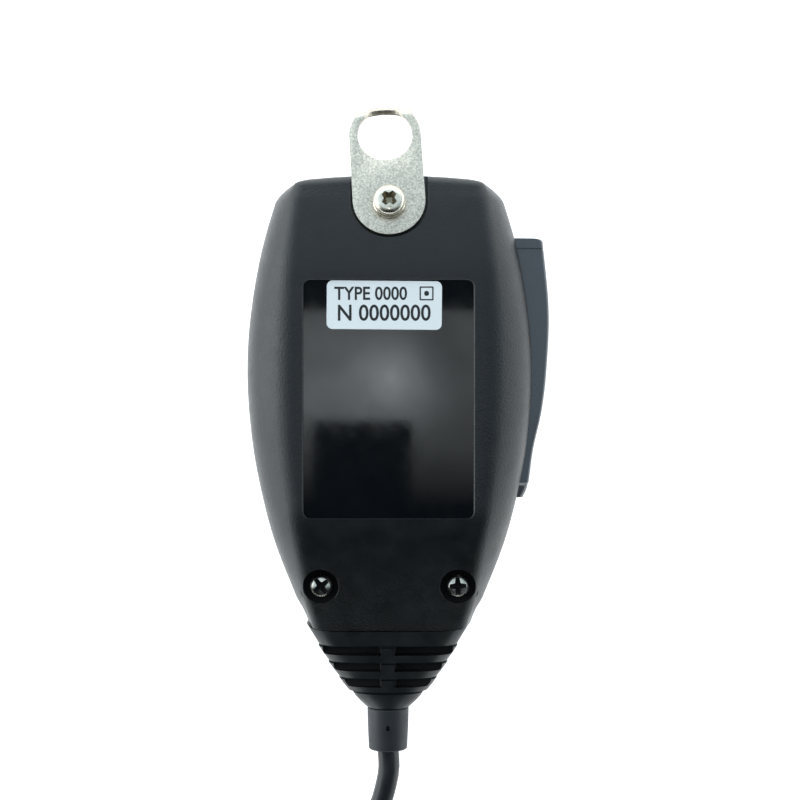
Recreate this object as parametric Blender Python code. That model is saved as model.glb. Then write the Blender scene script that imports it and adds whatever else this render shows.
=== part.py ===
"""Hand microphone for a two-way radio, lying on its front.

The case is two shells that meet on a level plane. The rear shell carries a hanger plate, the
front shell a grille and a keypad, the right-hand side a push-to-talk lever. A ribbed boot holds
a curly cord that ends in a round plug.

Everything is drawn in millimetres and turned into metres at the end. X is across the case (0 on
its middle plane), Y runs from the cord (-) to the hanger (+), and Z rises from the front face
(0) to the back. The last step shifts it all so that the origin is under the middle of the
microphone.
"""
import math

import bmesh
import bpy
from mathutils import Matrix, Vector

MM = 0.001

# Points closer together than this, in millimetres, are one point
MERGE = 0.002

# Case
CASE_TOP = 51.4
CASE_BOTTOM = -52.6
CORNER_LENGTH = 6.0
CORNER_WIDTH = 5.0
PARTING = 15.0
WALL = 2.0
GAP = 0.3
EDGE_ROUND = 2.0
SHOULDER_DROP = 6.0
FRONT_ROUND = 5.0
CASE_HALF_WIDTH = [(-52.6, 18.6), (-43.9, 22.2), (-32.7, 26.5), (-21.5, 29.5), (-10.3, 31.6),
                   (3.7, 32.8), (17.7, 32.3), (34.5, 29.5), (51.4, 24.6)]
CREASE_HALF_WIDTH = [(-52.6, 17.2), (-48, 18.3), (-34, 20.3), (-21, 21.8), (-5, 23.2),
                     (16, 23.3), (30, 22.7), (51.4, 20.9)]
BACK_HEIGHT = [(-52.6, 22.0), (-45, 25.0), (-36, 28.3), (-29, 30.3), (-24, 31.0),
               (28, 31.0), (34, 30.4), (42, 28.7), (51.4, 26.2)]
FRONT_HEIGHT = [(-52.6, 3.0), (-44, 1.0), (-37, 0.0), (0, 0.0)]

# Back panel and label
PANEL_SIZE = (37.9, 53.1)
PANEL_CENTRE = (-0.15, 0.15)
PANEL_CORNER = 1.5
PANEL_FLOOR = 30.4
LABEL_SIZE = (25.6, 10.8)
LABEL_CENTRE = (-1.1, 21.1)
LABEL_CORNER = 1.3
LABEL_LIFT = 0.1
LABEL_THICK = 0.15
LABEL_TURN = -0.5

# Hanger
HANGER_PIVOT = (0.0, 43.7, 26.6)
HANGER_TILT = -14.0
HANGER_TURN = 3.5
HANGER_HALF_WIDTH = 8.15
HANGER_THICK = 1.2
FOOT_CENTRE = 0.85
EYE_DISTANCE = 16.65
EYE_RADIUS = 6.2
HANGER_KNEE = 5.0
HANGER_KNEE_DEG = 1.5
LIP_START = 21.05
LIP_BEND_RADIUS = 1.5
LIP_BEND_DEG = 45.0
RECESS_HALF_WIDTH = 8.65
WASHER_THICK = 0.8
INSERT_RADIUS = 3.0
INSERT_LENGTH = 4.5

# Case screws
CASE_SCREW_X = 15.5
CASE_SCREW_Y = -42.1
CASE_SCREW_HEAD = (2.75, 2.0)
CASE_SCREW_SHANK = (1.5, 17.5)
WELL_RADIUS = 3.8
WELL_FLOOR = 22.6
CASE_BOSS_RADIUS = 3.4
BOSS_SPLIT = 9.0

# Push-to-talk lever
LEVER_PIVOT = (25.0, -19.5, 11.5)
LEVER_LOW = 5.5
LEVER_HIGH = 17.5
LEVER_TOP = 37.4
LEVER_FOOT = -22.6
LEVER_OUTER = [(-22.6, 31.1), (-20.4, 32.0), (-11.5, 33.3), (-2.6, 35.3), (6.3, 36.4),
               (20.5, 37.0), (37.4, 35.5)]
LEVER_INNER = 27.8
LEVER_PLAY = 0.4
SLOT_DEPTH = (23.0, 42.0)
TRUNNION_RADIUS = 1.2
TRUNNION_REACH = 2.0
TRUNNION_BOSS_RADIUS = 2.4
NUB_TIP = 25.2
NUB_HALF_WIDTH = 1.2
SWITCH_SIZE = (6.5, 9.0)
SWITCH_X = 18.2
SWITCH_HIGH = 14.6
PLUNGER_START = 19.6
PLUNGER_RADIUS = 1.5

# Keypad
KEY_COLUMNS = [13.5, 4.5, -4.5, -13.5]
KEY_ROWS = [-2.3, -10.7, -19.1, -27.5]
KEY_NAMES = ["1", "2", "3", "a", "4", "5", "6", "b", "7", "8", "9", "c", "star", "0", "hash", "d"]
KEY_SIZE = (7.0, 5.4)
STEP_KEY_SIZE = (13.0, 5.4)
STEP_KEY_X = 8.5
STEP_KEY_Y = 7.4
KEY_TOP = 0.3
KEY_FLANGE = 3.6
KEY_BACK = 4.1
FIELD_SIZE = (36.4, 44.6)
FIELD_CENTRE = (0.0, -10.0)
FIELD_FLOOR = 1.5
FIELD_BACK = 3.3

# Board and what is on it
BOARD_SIZE = (40.0, 57.0)
BOARD_CENTRE = (0.0, -8.5)
BOARD_LOW = 6.1
BOARD_HIGH = 7.7
BOARD_SCREWS = [(-17.2, 16.6), (17.2, 16.6), (-16.6, -34.4), (16.6, -34.4)]
BOARD_SCREW_SHANK = 1.0
SMALL_HEAD = (1.9, 1.2)
LED_Y = 17.0
MOUNTED = BOARD_HIGH + GAP

# Grille and capsule
GRILLE_CENTRE = 32.0
GRILLE_RADIUS = 11.0
GRILLE_PITCH = 4.0
GRILLE_SLOTS = 5
SLOT_HEIGHT = 1.8
CAPSULE_RADIUS = 4.85
CLOTH_THICK = 0.5

# Cord exit
CORD_X = -0.4
CORD_HEIGHT = 12.3
CORD_RADIUS = 2.5
NECK_RADIUS = 6.6
BOOT_START = CASE_BOTTOM - GAP
BOOT_END = -71.5
SLEEVE_START = BOOT_END - GAP
SLEEVE_END = -81.5
BOOT_STEPS = [(0.0, 18.5), (3.5, 16.0), (3.6, 14.8), (4.0, 14.8), (4.1, 15.8), (7.4, 13.6),
              (7.5, 12.2), (7.8, 12.2), (7.9, 13.4), (11.2, 11.05), (11.3, 9.6), (11.6, 9.6),
              (11.7, 10.7), (14.5, 8.65), (14.6, 7.2), (14.9, 7.2), (15.0, 7.75), (17.0, 6.4),
              (18.6, 4.95)]
BOOT_HALF_HEIGHT = [(0.0, 9.3), (15.0, 6.3), (18.6, 4.95)]
BOOT_RIBS = [4.1, 7.9, 11.7]
TAIL_END = -37.5
CLAMP_Y = -43.0
CLAMP_SCREW_X = 6.8
CLAMP_THICK = 1.5

# Free cord and plug
CURL_RADIUS = 8.0
CURL_HEIGHT = 8.2
LEAD_ROUTE = [(-0.4, -81.8, 12.3), (-0.4, -88, 11.9), (-3.5, -98, 10.2), (-11, -107.5, 8.7),
              (-13.9, -114, 8.2), (-14, -119.6, 8.2)]
CURL_ROUTE = [(-14, -120.1, 8.2), (-14.3, -130, 8.2), (-15.5, -160, 8.2), (-16, -195, 8.2),
              (-14.6, -220, 8.2), (-9.6, -232, 8.2), (0, -236.5, 8.2), (9.6, -232, 8.2),
              (14.6, -220, 8.2), (16, -195, 8.2), (15, -160, 8.2), (14, -138, 8.2),
              (14, -130, 8.2)]
END_ROUTE = [(14, -129.5, 8.2), (14.1, -124, 8.0), (19, -113, 5.6), (28, -108.5, 3.6),
             (36, -114, 4.2), (38.4, -126, 6.6), (38, -139, 9.2), (38, -145.7, 9.6)]
PLUG_START = (38.0, -146.0, 9.6)
PLUG_BOOT_LENGTH = 16.0
PLUG_PIN_CIRCLE = 4.0
RING_CENTRE = 20.0


def smooth(points, x):
    """The value at x of a smooth curve through (x, value) points, level beyond its ends."""
    if x <= points[0][0]:
        return points[0][1]
    if x >= points[-1][0]:
        return points[-1][1]
    slopes = []
    for i in range(len(points)):
        before = points[max(i - 1, 0)]
        after = points[min(i + 1, len(points) - 1)]
        slopes.append((after[1] - before[1]) / (after[0] - before[0]))
    i = max(k for k in range(len(points) - 1) if points[k][0] <= x)
    (x0, y0), (x1, y1) = points[i], points[i + 1]
    step = x1 - x0
    t = (x - x0) / step
    start = (2 * t**3 - 3 * t**2 + 1) * y0 + (t**3 - 2 * t**2 + t) * step * slopes[i]
    end = (3 * t**2 - 2 * t**3) * y1 + (t**3 - t**2) * step * slopes[i + 1]
    return start + end


def bow(start, control, end, steps):
    """Points inside a quadratic curve from start to end, without the two ends."""
    points = []
    for i in range(1, steps):
        t = i / steps
        points.append(tuple((1 - t)**2 * a + 2 * t * (1 - t) * b + t**2 * c
                            for a, b, c in zip(start, control, end)))
    return points


def through(route, spacing):
    """Evenly spaced points on a smooth curve through the points of a route."""
    route = [Vector(point) for point in route]
    fine = []
    for i in range(len(route) - 1):
        before = route[max(i - 1, 0)]
        after = route[min(i + 2, len(route) - 1)]
        a, b = route[i], route[i + 1]
        for k in range(20):
            t = k / 20
            fine.append(0.5 * (2 * a + (b - before) * t + (2 * before - 5 * a + 4 * b - after) * t**2
                               + (3 * a - before - 3 * b + after) * t**3))
    fine.append(route[-1])
    lengths = [0.0]
    for a, b in zip(fine, fine[1:]):
        lengths.append(lengths[-1] + (b - a).length)
    count = max(2, round(lengths[-1] / spacing))
    points = []
    k = 0
    for n in range(count + 1):
        wanted = lengths[-1] * n / count
        while k < len(fine) - 2 and lengths[k + 1] < wanted:
            k += 1
        share = (wanted - lengths[k]) / (lengths[k + 1] - lengths[k])
        points.append(fine[k].lerp(fine[k + 1], share))
    return points


def clear_scene():
    """Remove every object that the file opened with."""
    for thing in list(bpy.data.objects):
        bpy.data.objects.remove(thing, do_unlink=True)


def material(name, colour, roughness, metallic=0.0):
    """A plain surface of one colour."""
    surface = bpy.data.materials.new(name)
    surface.use_nodes = True
    shader = surface.node_tree.nodes["Principled BSDF"]
    shader.inputs["Base Color"].default_value = (*colour, 1.0)
    shader.inputs["Roughness"].default_value = roughness
    shader.inputs["Metallic"].default_value = metallic
    return surface


def piece(name, shape, surface, origin=(0, 0, 0), turn=(0, 0, 0)):
    """An object from a shape about its own origin, spun about its Z first and then tilted."""
    bent = [face for face in shape.faces if len(face.verts) == 4]
    bmesh.ops.triangulate(shape, faces=bent)
    bmesh.ops.recalc_face_normals(shape, faces=shape.faces)
    mesh = bpy.data.meshes.new(name)
    shape.to_mesh(mesh)
    shape.free()
    thing = bpy.data.objects.new(name, mesh)
    thing.location = origin
    thing.rotation_mode = 'ZYX'
    thing.rotation_euler = [math.radians(angle) for angle in turn]
    bpy.context.scene.collection.objects.link(thing)
    if surface:
        mesh.materials.append(surface)
    return thing


def weld(mesh):
    """Merge the points that a cut left on top of each other."""
    shape = bmesh.new()
    shape.from_mesh(mesh)
    bmesh.ops.remove_doubles(shape, verts=shape.verts, dist=MERGE)
    bmesh.ops.dissolve_degenerate(shape, edges=shape.edges, dist=MERGE)
    shape.to_mesh(mesh)
    shape.free()


def simplify(target):
    """Join the faces that lie in one plane, which the cuts left in strips."""
    shape = bmesh.new()
    shape.from_mesh(target.data)
    bmesh.ops.dissolve_limit(shape, angle_limit=math.radians(1.0), verts=shape.verts,
                             edges=shape.edges)
    shape.to_mesh(target.data)
    shape.free()


def combine(target, operation, shapes, origin=(0, 0, 0), turn=(0, 0, 0)):
    """Cut the shapes out of the target, or add them to it, one after the other."""
    for shape in shapes:
        tool = piece("tool", shape, None, origin, turn)
        change = target.modifiers.new("change", 'BOOLEAN')
        change.operation = operation
        change.solver = 'EXACT'
        change.object = tool
        bpy.context.view_layer.update()
        graph = bpy.context.evaluated_depsgraph_get()
        changed = bpy.data.meshes.new_from_object(target.evaluated_get(graph))
        target.modifiers.clear()
        target.data = changed
        bpy.data.objects.remove(tool, do_unlink=True)
        weld(changed)


def cut(target, shapes, origin=(0, 0, 0), turn=(0, 0, 0)):
    combine(target, 'DIFFERENCE', shapes, origin, turn)


def add(target, shapes, origin=(0, 0, 0), turn=(0, 0, 0)):
    combine(target, 'UNION', shapes, origin, turn)


def loft(rings):
    """A closed body through rings of equal length, with a flat face at each end."""
    shape = bmesh.new()
    loops = [[shape.verts.new(point) for point in ring] for ring in rings]
    for near, far in zip(loops, loops[1:]):
        for i in range(len(near)):
            j = (i + 1) % len(near)
            shape.faces.new((near[i], near[j], far[j], far[i]))
    shape.faces.new(reversed(loops[0]))
    shape.faces.new(loops[-1])
    return shape


def slab(outline, low, high):
    """An outline in X and Y raised from low to high."""
    return loft([[(x, y, z) for x, y in outline] for z in (low, high)])


def block(size, low, high, centre=(0, 0)):
    """A rectangular block from low to high."""
    half_x, half_y = size[0] / 2, size[1] / 2
    x, y = centre
    return slab([(x - half_x, y - half_y), (x + half_x, y - half_y),
                 (x + half_x, y + half_y), (x - half_x, y + half_y)], low, high)


def turned(profile, steps=24, ring=False):
    """A body turned about Z from (radius, height) points. A ring's profile closes on itself."""
    shape = bmesh.new()
    columns = []
    for radius, height in profile:
        if radius == 0:
            columns.append([shape.verts.new((0, 0, height))] * steps)
            continue
        angles = [math.tau * i / steps for i in range(steps)]
        columns.append([shape.verts.new((radius * math.cos(a), radius * math.sin(a), height))
                        for a in angles])
    pairs = list(zip(columns, columns[1:]))
    if ring:
        pairs.append((columns[-1], columns[0]))
    for near, far in pairs:
        for i in range(steps):
            j = (i + 1) % steps
            corners = list(dict.fromkeys((near[i], near[j], far[j], far[i])))
            if len(corners) > 2:
                shape.faces.new(corners)
    return shape


def rod(radius, low, high, centre=(0, 0), steps=20):
    """An upright round rod."""
    shape = turned([(0, high), (radius, high), (radius, low), (0, low)], steps)
    bmesh.ops.translate(shape, vec=(*centre, 0), verts=shape.verts)
    return shape


def tube(outer, inner, low, high, steps=24):
    """An upright round tube with an open bore."""
    return turned([(outer, high), (outer, low), (inner, low), (inner, high)], steps, ring=True)


def rounded(size, radius, steps=3, centre=(0, 0)):
    """The outline of a rectangle with round corners."""
    outline = []
    for quarter, (sx, sy) in enumerate([(1, 1), (-1, 1), (-1, -1), (1, -1)]):
        for i in range(steps + 1):
            angle = math.pi / 2 * (quarter + i / steps)
            outline.append((centre[0] + sx * (size[0] / 2 - radius) + radius * math.cos(angle),
                            centre[1] + sy * (size[1] / 2 - radius) + radius * math.sin(angle)))
    return outline


def stadium(half_width, top, centre=0.0, steps=10):
    """An upright U outline: round below about its centre, and square at the top."""
    outline = []
    for i in range(steps + 1):
        angle = math.pi + math.pi * i / steps
        outline.append((half_width * math.cos(angle), centre + half_width * math.sin(angle)))
    return outline + [(half_width, top), (-half_width, top)]


def cross(reach, arm):
    """The outline of a cross recess."""
    quarter = [(reach, -arm), (reach, arm), (arm, arm)]
    outline = []
    for turn in range(4):
        angle = math.pi / 2 * turn
        outline += [(x * math.cos(angle) - y * math.sin(angle),
                     x * math.sin(angle) + y * math.cos(angle)) for x, y in quarter]
    return outline


def pan_screw(name, surface, head, shank, origin, turn=(0, 0, 0), steps=16):
    """A pan-head screw with a cross recess. The underside of its head is at the origin."""
    radius, height = head
    shank_radius, length = shank
    profile = [(0, height), (radius * 0.7, height * 0.9), (radius, height * 0.4), (radius, 0),
               (shank_radius, 0), (shank_radius, -length), (0, -length)]
    screw = piece(name, turned(profile, steps), surface, origin, turn)
    cut(screw, [slab(cross(radius * 0.5, radius * 0.13), height * 0.35, height + 1)],
        origin, turn)
    return screw


def case_stations(inset):
    """Places along Y where the case is drawn, closer together round its top corners."""
    low = CASE_BOTTOM + inset
    high = CASE_TOP - CORNER_LENGTH
    straight = [low + (high - low) * i / 9 for i in range(10)]
    reach = CORNER_LENGTH - inset
    return straight + [high + reach * math.sin(math.radians(a)) for a in (30, 60, 90)]


def case_half_width(y, inset=0.0):
    """Half the case's width where the shells meet."""
    half = smooth(CASE_HALF_WIDTH, y) - inset
    over = (y - (CASE_TOP - CORNER_LENGTH)) / (CORNER_LENGTH - inset)
    if over > 0:
        half -= (CORNER_WIDTH - inset) * (1 - math.sqrt(max(0.0, 1 - over**2)))
    return half


def end_round(y, inset):
    """How far the faces fall away at the rounded top end of the case."""
    over = (y - (CASE_TOP - EDGE_ROUND)) / EDGE_ROUND
    if over <= 0 or inset:
        return 0.0
    return EDGE_ROUND * (1 - math.sqrt(max(0.0, 1 - over**2)))


def mirrored(side):
    """A ring from its points at +X, listed from one end of the ring to the other."""
    return side + [(-x, y, z) for x, y, z in reversed(side)]


def rear_ring(y, inset, rim):
    """Section of the rear shell: an upright rim, a rounded shoulder and a flat back."""
    half = case_half_width(y, inset)
    crease = min(smooth(CREASE_HALF_WIDTH, y), half + inset - 1.0) - 0.6 * inset
    top = smooth(BACK_HEIGHT, y) - inset - end_round(y, inset)
    foot = PARTING + 1.5
    shoulder = bow((half, foot), (half, top - SHOULDER_DROP), (crease, top - 0.3), 4)
    side = [(half, rim), (half, foot)] + shoulder + [(crease, top - 0.3), (crease - 1.5, top)]
    return mirrored([(x, y, z) for x, z in side])


def front_ring(y, inset, rim):
    """Section of the front shell: a slightly leaning side and a rounded edge to a flat front."""
    half = case_half_width(y, inset)
    low = max(0.0, smooth(FRONT_HEIGHT, y)) + inset + end_round(y, inset)
    side = (half - 0.6, max(7.0, low + 3.0))
    flat = half + inset * 0.4 - FRONT_ROUND
    edge = bow(side, (half - 1.2, low + 0.3), (flat, low), 3)
    points = [(half, rim), (half, PARTING - 3.0), side] + edge + [(flat, low)]
    return mirrored([(x, y, z) for x, z in points])


def shell(name, ring, rim, overshoot, surface):
    """One half of the case: the outer form less the same form drawn a wall's thickness in."""
    cover = piece(name, loft([ring(y, 0.0, rim) for y in case_stations(0.0)]), surface)
    cut(cover, [loft([ring(y, WALL, rim + overshoot) for y in case_stations(WALL)])])
    return cover


def lever_slot(low, high):
    """The opening in the right-hand wall that the lever moves in."""
    inner, outer = SLOT_DEPTH
    return block((outer - inner, LEVER_TOP - LEVER_FOOT + 2 * LEVER_PLAY), low, high,
                 ((inner + outer) / 2, (LEVER_TOP + LEVER_FOOT) / 2))


def neck_hole():
    """The round opening for the boot, through the lower wall of both shells."""
    hole = rod(NECK_RADIUS + GAP, -6, 6, steps=24)
    return hole, (CORD_X, CASE_BOTTOM, CORD_HEIGHT), (90, 0, 0)


def rear_cover(surface):
    cover = shell("rear_cover", rear_ring, PARTING + GAP / 2, -2.0, surface)
    seat = stadium(RECESS_HALF_WIDTH + WALL, CASE_TOP - HANGER_PIVOT[1] - 1.0, FOOT_CENTRE)
    add(cover, [slab(seat, -WALL, 1.0), rod(INSERT_RADIUS + 2.2, -INSERT_LENGTH - 1.5, -0.5)],
        HANGER_PIVOT, (HANGER_TILT, 0, 0))
    cut(cover, [slab(stadium(RECESS_HALF_WIDTH, 20, FOOT_CENTRE), 0.0, 9.0),
                rod(INSERT_RADIUS + GAP, -INSERT_LENGTH - 3.0, 1.0)],
        HANGER_PIVOT, (HANGER_TILT, 0, 0))
    cut(cover, [slab(rounded(PANEL_SIZE, PANEL_CORNER, centre=PANEL_CENTRE), PANEL_FLOOR, 34)])
    for side in (-1, 1):
        place = (side * CASE_SCREW_X, CASE_SCREW_Y)
        add(cover, [rod(CASE_BOSS_RADIUS, BOSS_SPLIT, WELL_FLOOR + 1.0, place, 16),
                    rod(WELL_RADIUS + 1.1, WELL_FLOOR - WALL, WELL_FLOOR + 1.0, place)])
        cut(cover, [rod(WELL_RADIUS, WELL_FLOOR, 34, place),
                    rod(CASE_SCREW_SHANK[0] + GAP, BOSS_SPLIT - 2, WELL_FLOOR + 2, place)])
    add(cover, [rod(TRUNNION_BOSS_RADIUS, LEVER_HIGH + GAP, 24.0, LEVER_PIVOT[:2], 14)])
    cut(cover, [rod(TRUNNION_RADIUS + GAP, LEVER_HIGH, LEVER_HIGH + TRUNNION_REACH + GAP,
                    LEVER_PIVOT[:2], 14)])
    cut(cover, [lever_slot(PARTING - 2, LEVER_HIGH + GAP)])
    hole, place, turn = neck_hole()
    cut(cover, [hole], place, turn)
    simplify(cover)


def grille_slots():
    """Rows of round-ended slots that together fill a circle."""
    slots = []
    for row in range(GRILLE_SLOTS):
        offset = (row - (GRILLE_SLOTS - 1) / 2) * GRILLE_PITCH
        half = math.sqrt(GRILLE_RADIUS**2 - offset**2)
        outline = rounded((2 * half, SLOT_HEIGHT), SLOT_HEIGHT / 2 - 0.01, 3,
                          (0, GRILLE_CENTRE + offset))
        slots.append(slab(outline, -2, WALL + 2))
    return slots


def key_places():
    """Each key's name, size and centre."""
    places = []
    for index, label in enumerate(KEY_NAMES):
        row, column = divmod(index, 4)
        places.append(("key_" + label, KEY_SIZE, (KEY_COLUMNS[column], KEY_ROWS[row])))
    places.append(("up_key", STEP_KEY_SIZE, (-STEP_KEY_X, STEP_KEY_Y)))
    places.append(("down_key", STEP_KEY_SIZE, (STEP_KEY_X, STEP_KEY_Y)))
    return places


def front_cover(surface):
    cover = shell("front_cover", front_ring, PARTING - GAP / 2, 2.0, surface)
    back = (FIELD_SIZE[0] + 2 * WALL, FIELD_SIZE[1] + 2 * WALL)
    add(cover, [block(back, WALL - 1, FIELD_BACK, FIELD_CENTRE)])
    cut(cover, [slab(rounded(FIELD_SIZE, 2.0, centre=FIELD_CENTRE), -2, FIELD_FLOOR)])
    cut(cover, [block((size[0] + 2 * GAP, size[1] + 2 * GAP), 0, FIELD_BACK + 1, place)
                for _, size, place in key_places()])
    cut(cover, grille_slots())
    cut(cover, [rod(1.6, -2, 5, (0, LED_Y), 12)])
    for place in BOARD_SCREWS:
        add(cover, [rod(2.4, WALL - 1, BOARD_LOW - GAP, place, 12)])
        cut(cover, [rod(BOARD_SCREW_SHANK + GAP, WALL, BOARD_LOW + 1, place, 12)])
    for side in (-1, 1):
        place = (side * CASE_SCREW_X, CASE_SCREW_Y)
        add(cover, [rod(CASE_BOSS_RADIUS, WALL, BOSS_SPLIT - GAP, place, 16)])
        cut(cover, [rod(CASE_SCREW_SHANK[0] + GAP, 4.0, BOSS_SPLIT + 1, place, 16)])
        place = (side * CLAMP_SCREW_X, CLAMP_Y)
        add(cover, [rod(2.3, WALL, CORD_HEIGHT + CORD_RADIUS, place, 12)])
        cut(cover, [rod(BOARD_SCREW_SHANK + GAP, 5.0, 16.0, place, 12)])
    add(cover, [block((6.0, 5.0), WALL, CORD_HEIGHT - CORD_RADIUS - GAP, (0, CLAMP_Y))])
    add(cover, [rod(TRUNNION_BOSS_RADIUS, 2.9, LEVER_LOW - GAP, LEVER_PIVOT[:2], 14)])
    cut(cover, [rod(TRUNNION_RADIUS + GAP, LEVER_LOW - TRUNNION_REACH - GAP, LEVER_LOW,
                    LEVER_PIVOT[:2], 14)])
    cut(cover, [lever_slot(LEVER_LOW - GAP, PARTING + 2)])
    hole, place, turn = neck_hole()
    cut(cover, [hole], place, turn)
    simplify(cover)


def hanger_plate(surface):
    """A strap with a round foot, a slight knee, an eye, and a lip bent down past the eye."""
    outline = []
    for start, y in ((math.pi, FOOT_CENTRE), (0.0, EYE_DISTANCE)):
        for i in range(15):
            angle = start + math.pi * i / 14
            outline.append((HANGER_HALF_WIDTH * math.cos(angle),
                            y + HANGER_HALF_WIDTH * math.sin(angle)))
    place, turn = HANGER_PIVOT, (HANGER_TILT, 0, HANGER_TURN)
    plate = piece("hanger_plate", slab(outline, GAP, GAP + HANGER_THICK), surface, place)
    cut(plate, [rod(EYE_RADIUS, -1, 4, (0, EYE_DISTANCE), 28), rod(2.0 + GAP, -1, 4, steps=16)],
        place)
    shape = bmesh.new()
    shape.from_mesh(plate.data)
    arc = math.radians(LIP_BEND_DEG) * LIP_BEND_RADIUS
    for y in [HANGER_KNEE] + [LIP_START + arc * step / 4 for step in range(5)]:
        bmesh.ops.bisect_plane(shape, geom=shape.verts[:] + shape.edges[:] + shape.faces[:],
                               plane_co=(0, y, 0), plane_no=(0, 1, 0))
    for vert in shape.verts:
        past = vert.co.y - LIP_START
        if past <= 0:
            continue
        angle = min(past, arc) / LIP_BEND_RADIUS
        radius = LIP_BEND_RADIUS + vert.co.z - GAP
        beyond = max(0.0, past - arc)
        vert.co.y = LIP_START + radius * math.sin(angle) + beyond * math.cos(angle)
        vert.co.z = GAP - LIP_BEND_RADIUS + radius * math.cos(angle) - beyond * math.sin(angle)
    outer = [vert for vert in shape.verts if vert.co.y > HANGER_KNEE + MERGE]
    bmesh.ops.rotate(shape, verts=outer, cent=(0, HANGER_KNEE, GAP),
                     matrix=Matrix.Rotation(math.radians(-HANGER_KNEE_DEG), 3, 'X'))
    shape.to_mesh(plate.data)
    shape.free()
    plate.rotation_euler = [math.radians(angle) for angle in turn]


def split_washer(surface):
    """A spring washer with its split."""
    turn = (HANGER_TILT, 0, 0)
    low = 2 * GAP + HANGER_THICK
    washer = piece("hanger_washer", tube(3.6, 2.0 + GAP, low, low + WASHER_THICK, 20), surface,
                   HANGER_PIVOT, turn)
    cut(washer, [block((3.0, 0.8), low - 1, low + 2, (3.4, 0))], HANGER_PIVOT,
        (HANGER_TILT, 0, 35))


def hanger(metal, bright, brass):
    hanger_plate(metal)
    split_washer(bright)
    under_head = 3 * GAP + HANGER_THICK + WASHER_THICK
    tilt = math.radians(HANGER_TILT)
    x, y, z = HANGER_PIVOT
    head = (x, y - under_head * math.sin(tilt), z + under_head * math.cos(tilt))
    pan_screw("hanger_screw", bright, (3.5, 2.1), (2.0, 7.0), head, (HANGER_TILT, 0, 20), 20)
    piece("hanger_insert", tube(INSERT_RADIUS, 2.0 + GAP, -INSERT_LENGTH - GAP, -GAP, 18), brass,
          HANGER_PIVOT, (HANGER_TILT, 0, 0))


def ptt_lever(surface):
    """The lever: a bowed bar with a lobe at its pivot, a nub for the switch and two trunnions."""
    px, py, pz = LEVER_PIVOT
    outer = [(smooth(LEVER_OUTER, y), y) for y in (LEVER_FOOT, -20.4, -16, -11.5, -7, -2.6, 2,
                                                   6.3, 13, 20.5, 29, 35.4)]
    outer += [(35.2, 36.9), (34.4, LEVER_TOP)]
    inner = [(LEVER_INNER, LEVER_TOP), (LEVER_INNER, 2.0), (NUB_TIP, NUB_HALF_WIDTH),
             (NUB_TIP, -NUB_HALF_WIDTH), (LEVER_INNER, -2.0), (LEVER_INNER, -14.0),
             (px + 0.6, py + 2.1), (px - 0.9, py + 1.9), (px - 2.1, py), (px - 0.9, py - 1.9),
             (px + 0.6, py - 2.1)]
    outline = [(x - px, y - py) for x, y in outer + inner]
    lever = piece("ptt_lever", slab(outline, LEVER_LOW - pz, LEVER_HIGH - pz), surface,
                  LEVER_PIVOT)
    add(lever, [rod(TRUNNION_RADIUS, LEVER_LOW - pz - TRUNNION_REACH + GAP,
                    LEVER_HIGH - pz + TRUNNION_REACH - GAP, steps=12)], LEVER_PIVOT)


def switch(case, button):
    """The switch under the lever, with its sliding plunger on the nub's line."""
    height = LEVER_PIVOT[2]
    length = NUB_TIP - GAP - PLUNGER_START
    body = piece("ptt_switch", block(SWITCH_SIZE, MOUNTED, SWITCH_HIGH, (SWITCH_X, 0)), case)
    cut(body, [rod(PLUNGER_RADIUS + GAP, -1.5, length, steps=12)], (PLUNGER_START, 0, height),
        (0, 90, 0))
    piece("ptt_plunger", rod(PLUNGER_RADIUS, 0, length, steps=12), button,
          (PLUNGER_START, 0, height), (0, 90, 0))


def key(name, size, place, surface):
    """A key cap with a chamfered top and a flange that keeps it in the case."""
    top = [(KEY_TOP, -0.8), (KEY_TOP + 0.4, 0.0), (KEY_FLANGE, 0.0)]
    flange = [(KEY_FLANGE + 0.02, 1.2), (KEY_BACK, 1.2)]
    rings = []
    for height, grow in top + flange:
        outline = rounded((size[0] + grow, size[1] + grow), 0.9, 1)
        rings.append([(x, y, height) for x, y in outline])
    piece(name, loft(rings), surface, (*place, 0))


def keypad(key_surface, mat_surface):
    for name, size, place in key_places():
        key(name, size, place, key_surface)
    mat_low = KEY_BACK + 1.1
    piece("keypad_mat", block((37.0, 43.0), mat_low, BOARD_LOW - GAP, (0, -10.0)), mat_surface)


def board(surfaces):
    """The circuit board, its screws and the parts on its rear side."""
    panel = piece("circuit_board", slab(rounded(BOARD_SIZE, 2.0, centre=BOARD_CENTRE),
                                        BOARD_LOW, BOARD_HIGH), surfaces["board"])
    for number, place in enumerate(BOARD_SCREWS, 1):
        cut(panel, [rod(BOARD_SCREW_SHANK + GAP, 4, 10, place, 12)])
        pan_screw(f"board_screw_{number}", surfaces["steel"], SMALL_HEAD,
                  (BOARD_SCREW_SHANK, 5.0), (*place, MOUNTED), steps=10)
    piece("controller_ic", block((9.0, 9.0), MOUNTED, 9.4, (-4.0, -6.0)), surfaces["chip"])
    piece("crystal", slab(rounded((10.0, 4.4), 2.1), MOUNTED, 11.4), surfaces["steel"],
          (-6.0, -18.0, 0))
    piece("capacitor", rod(2.5, MOUNTED, 14.6, steps=14), surfaces["capacitor"], (8.0, 10.0, 0))
    piece("wire_socket", block((12.0, 4.6), MOUNTED, 11.6, (0, -32.0)), surfaces["socket"])
    piece("status_led", turned([(0, 0.4), (0.9, 0.6), (1.3, 1.3), (1.3, BOARD_LOW - GAP),
                                (0, BOARD_LOW - GAP)], 12), surfaces["led"], (0, LED_Y, 0))


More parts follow.
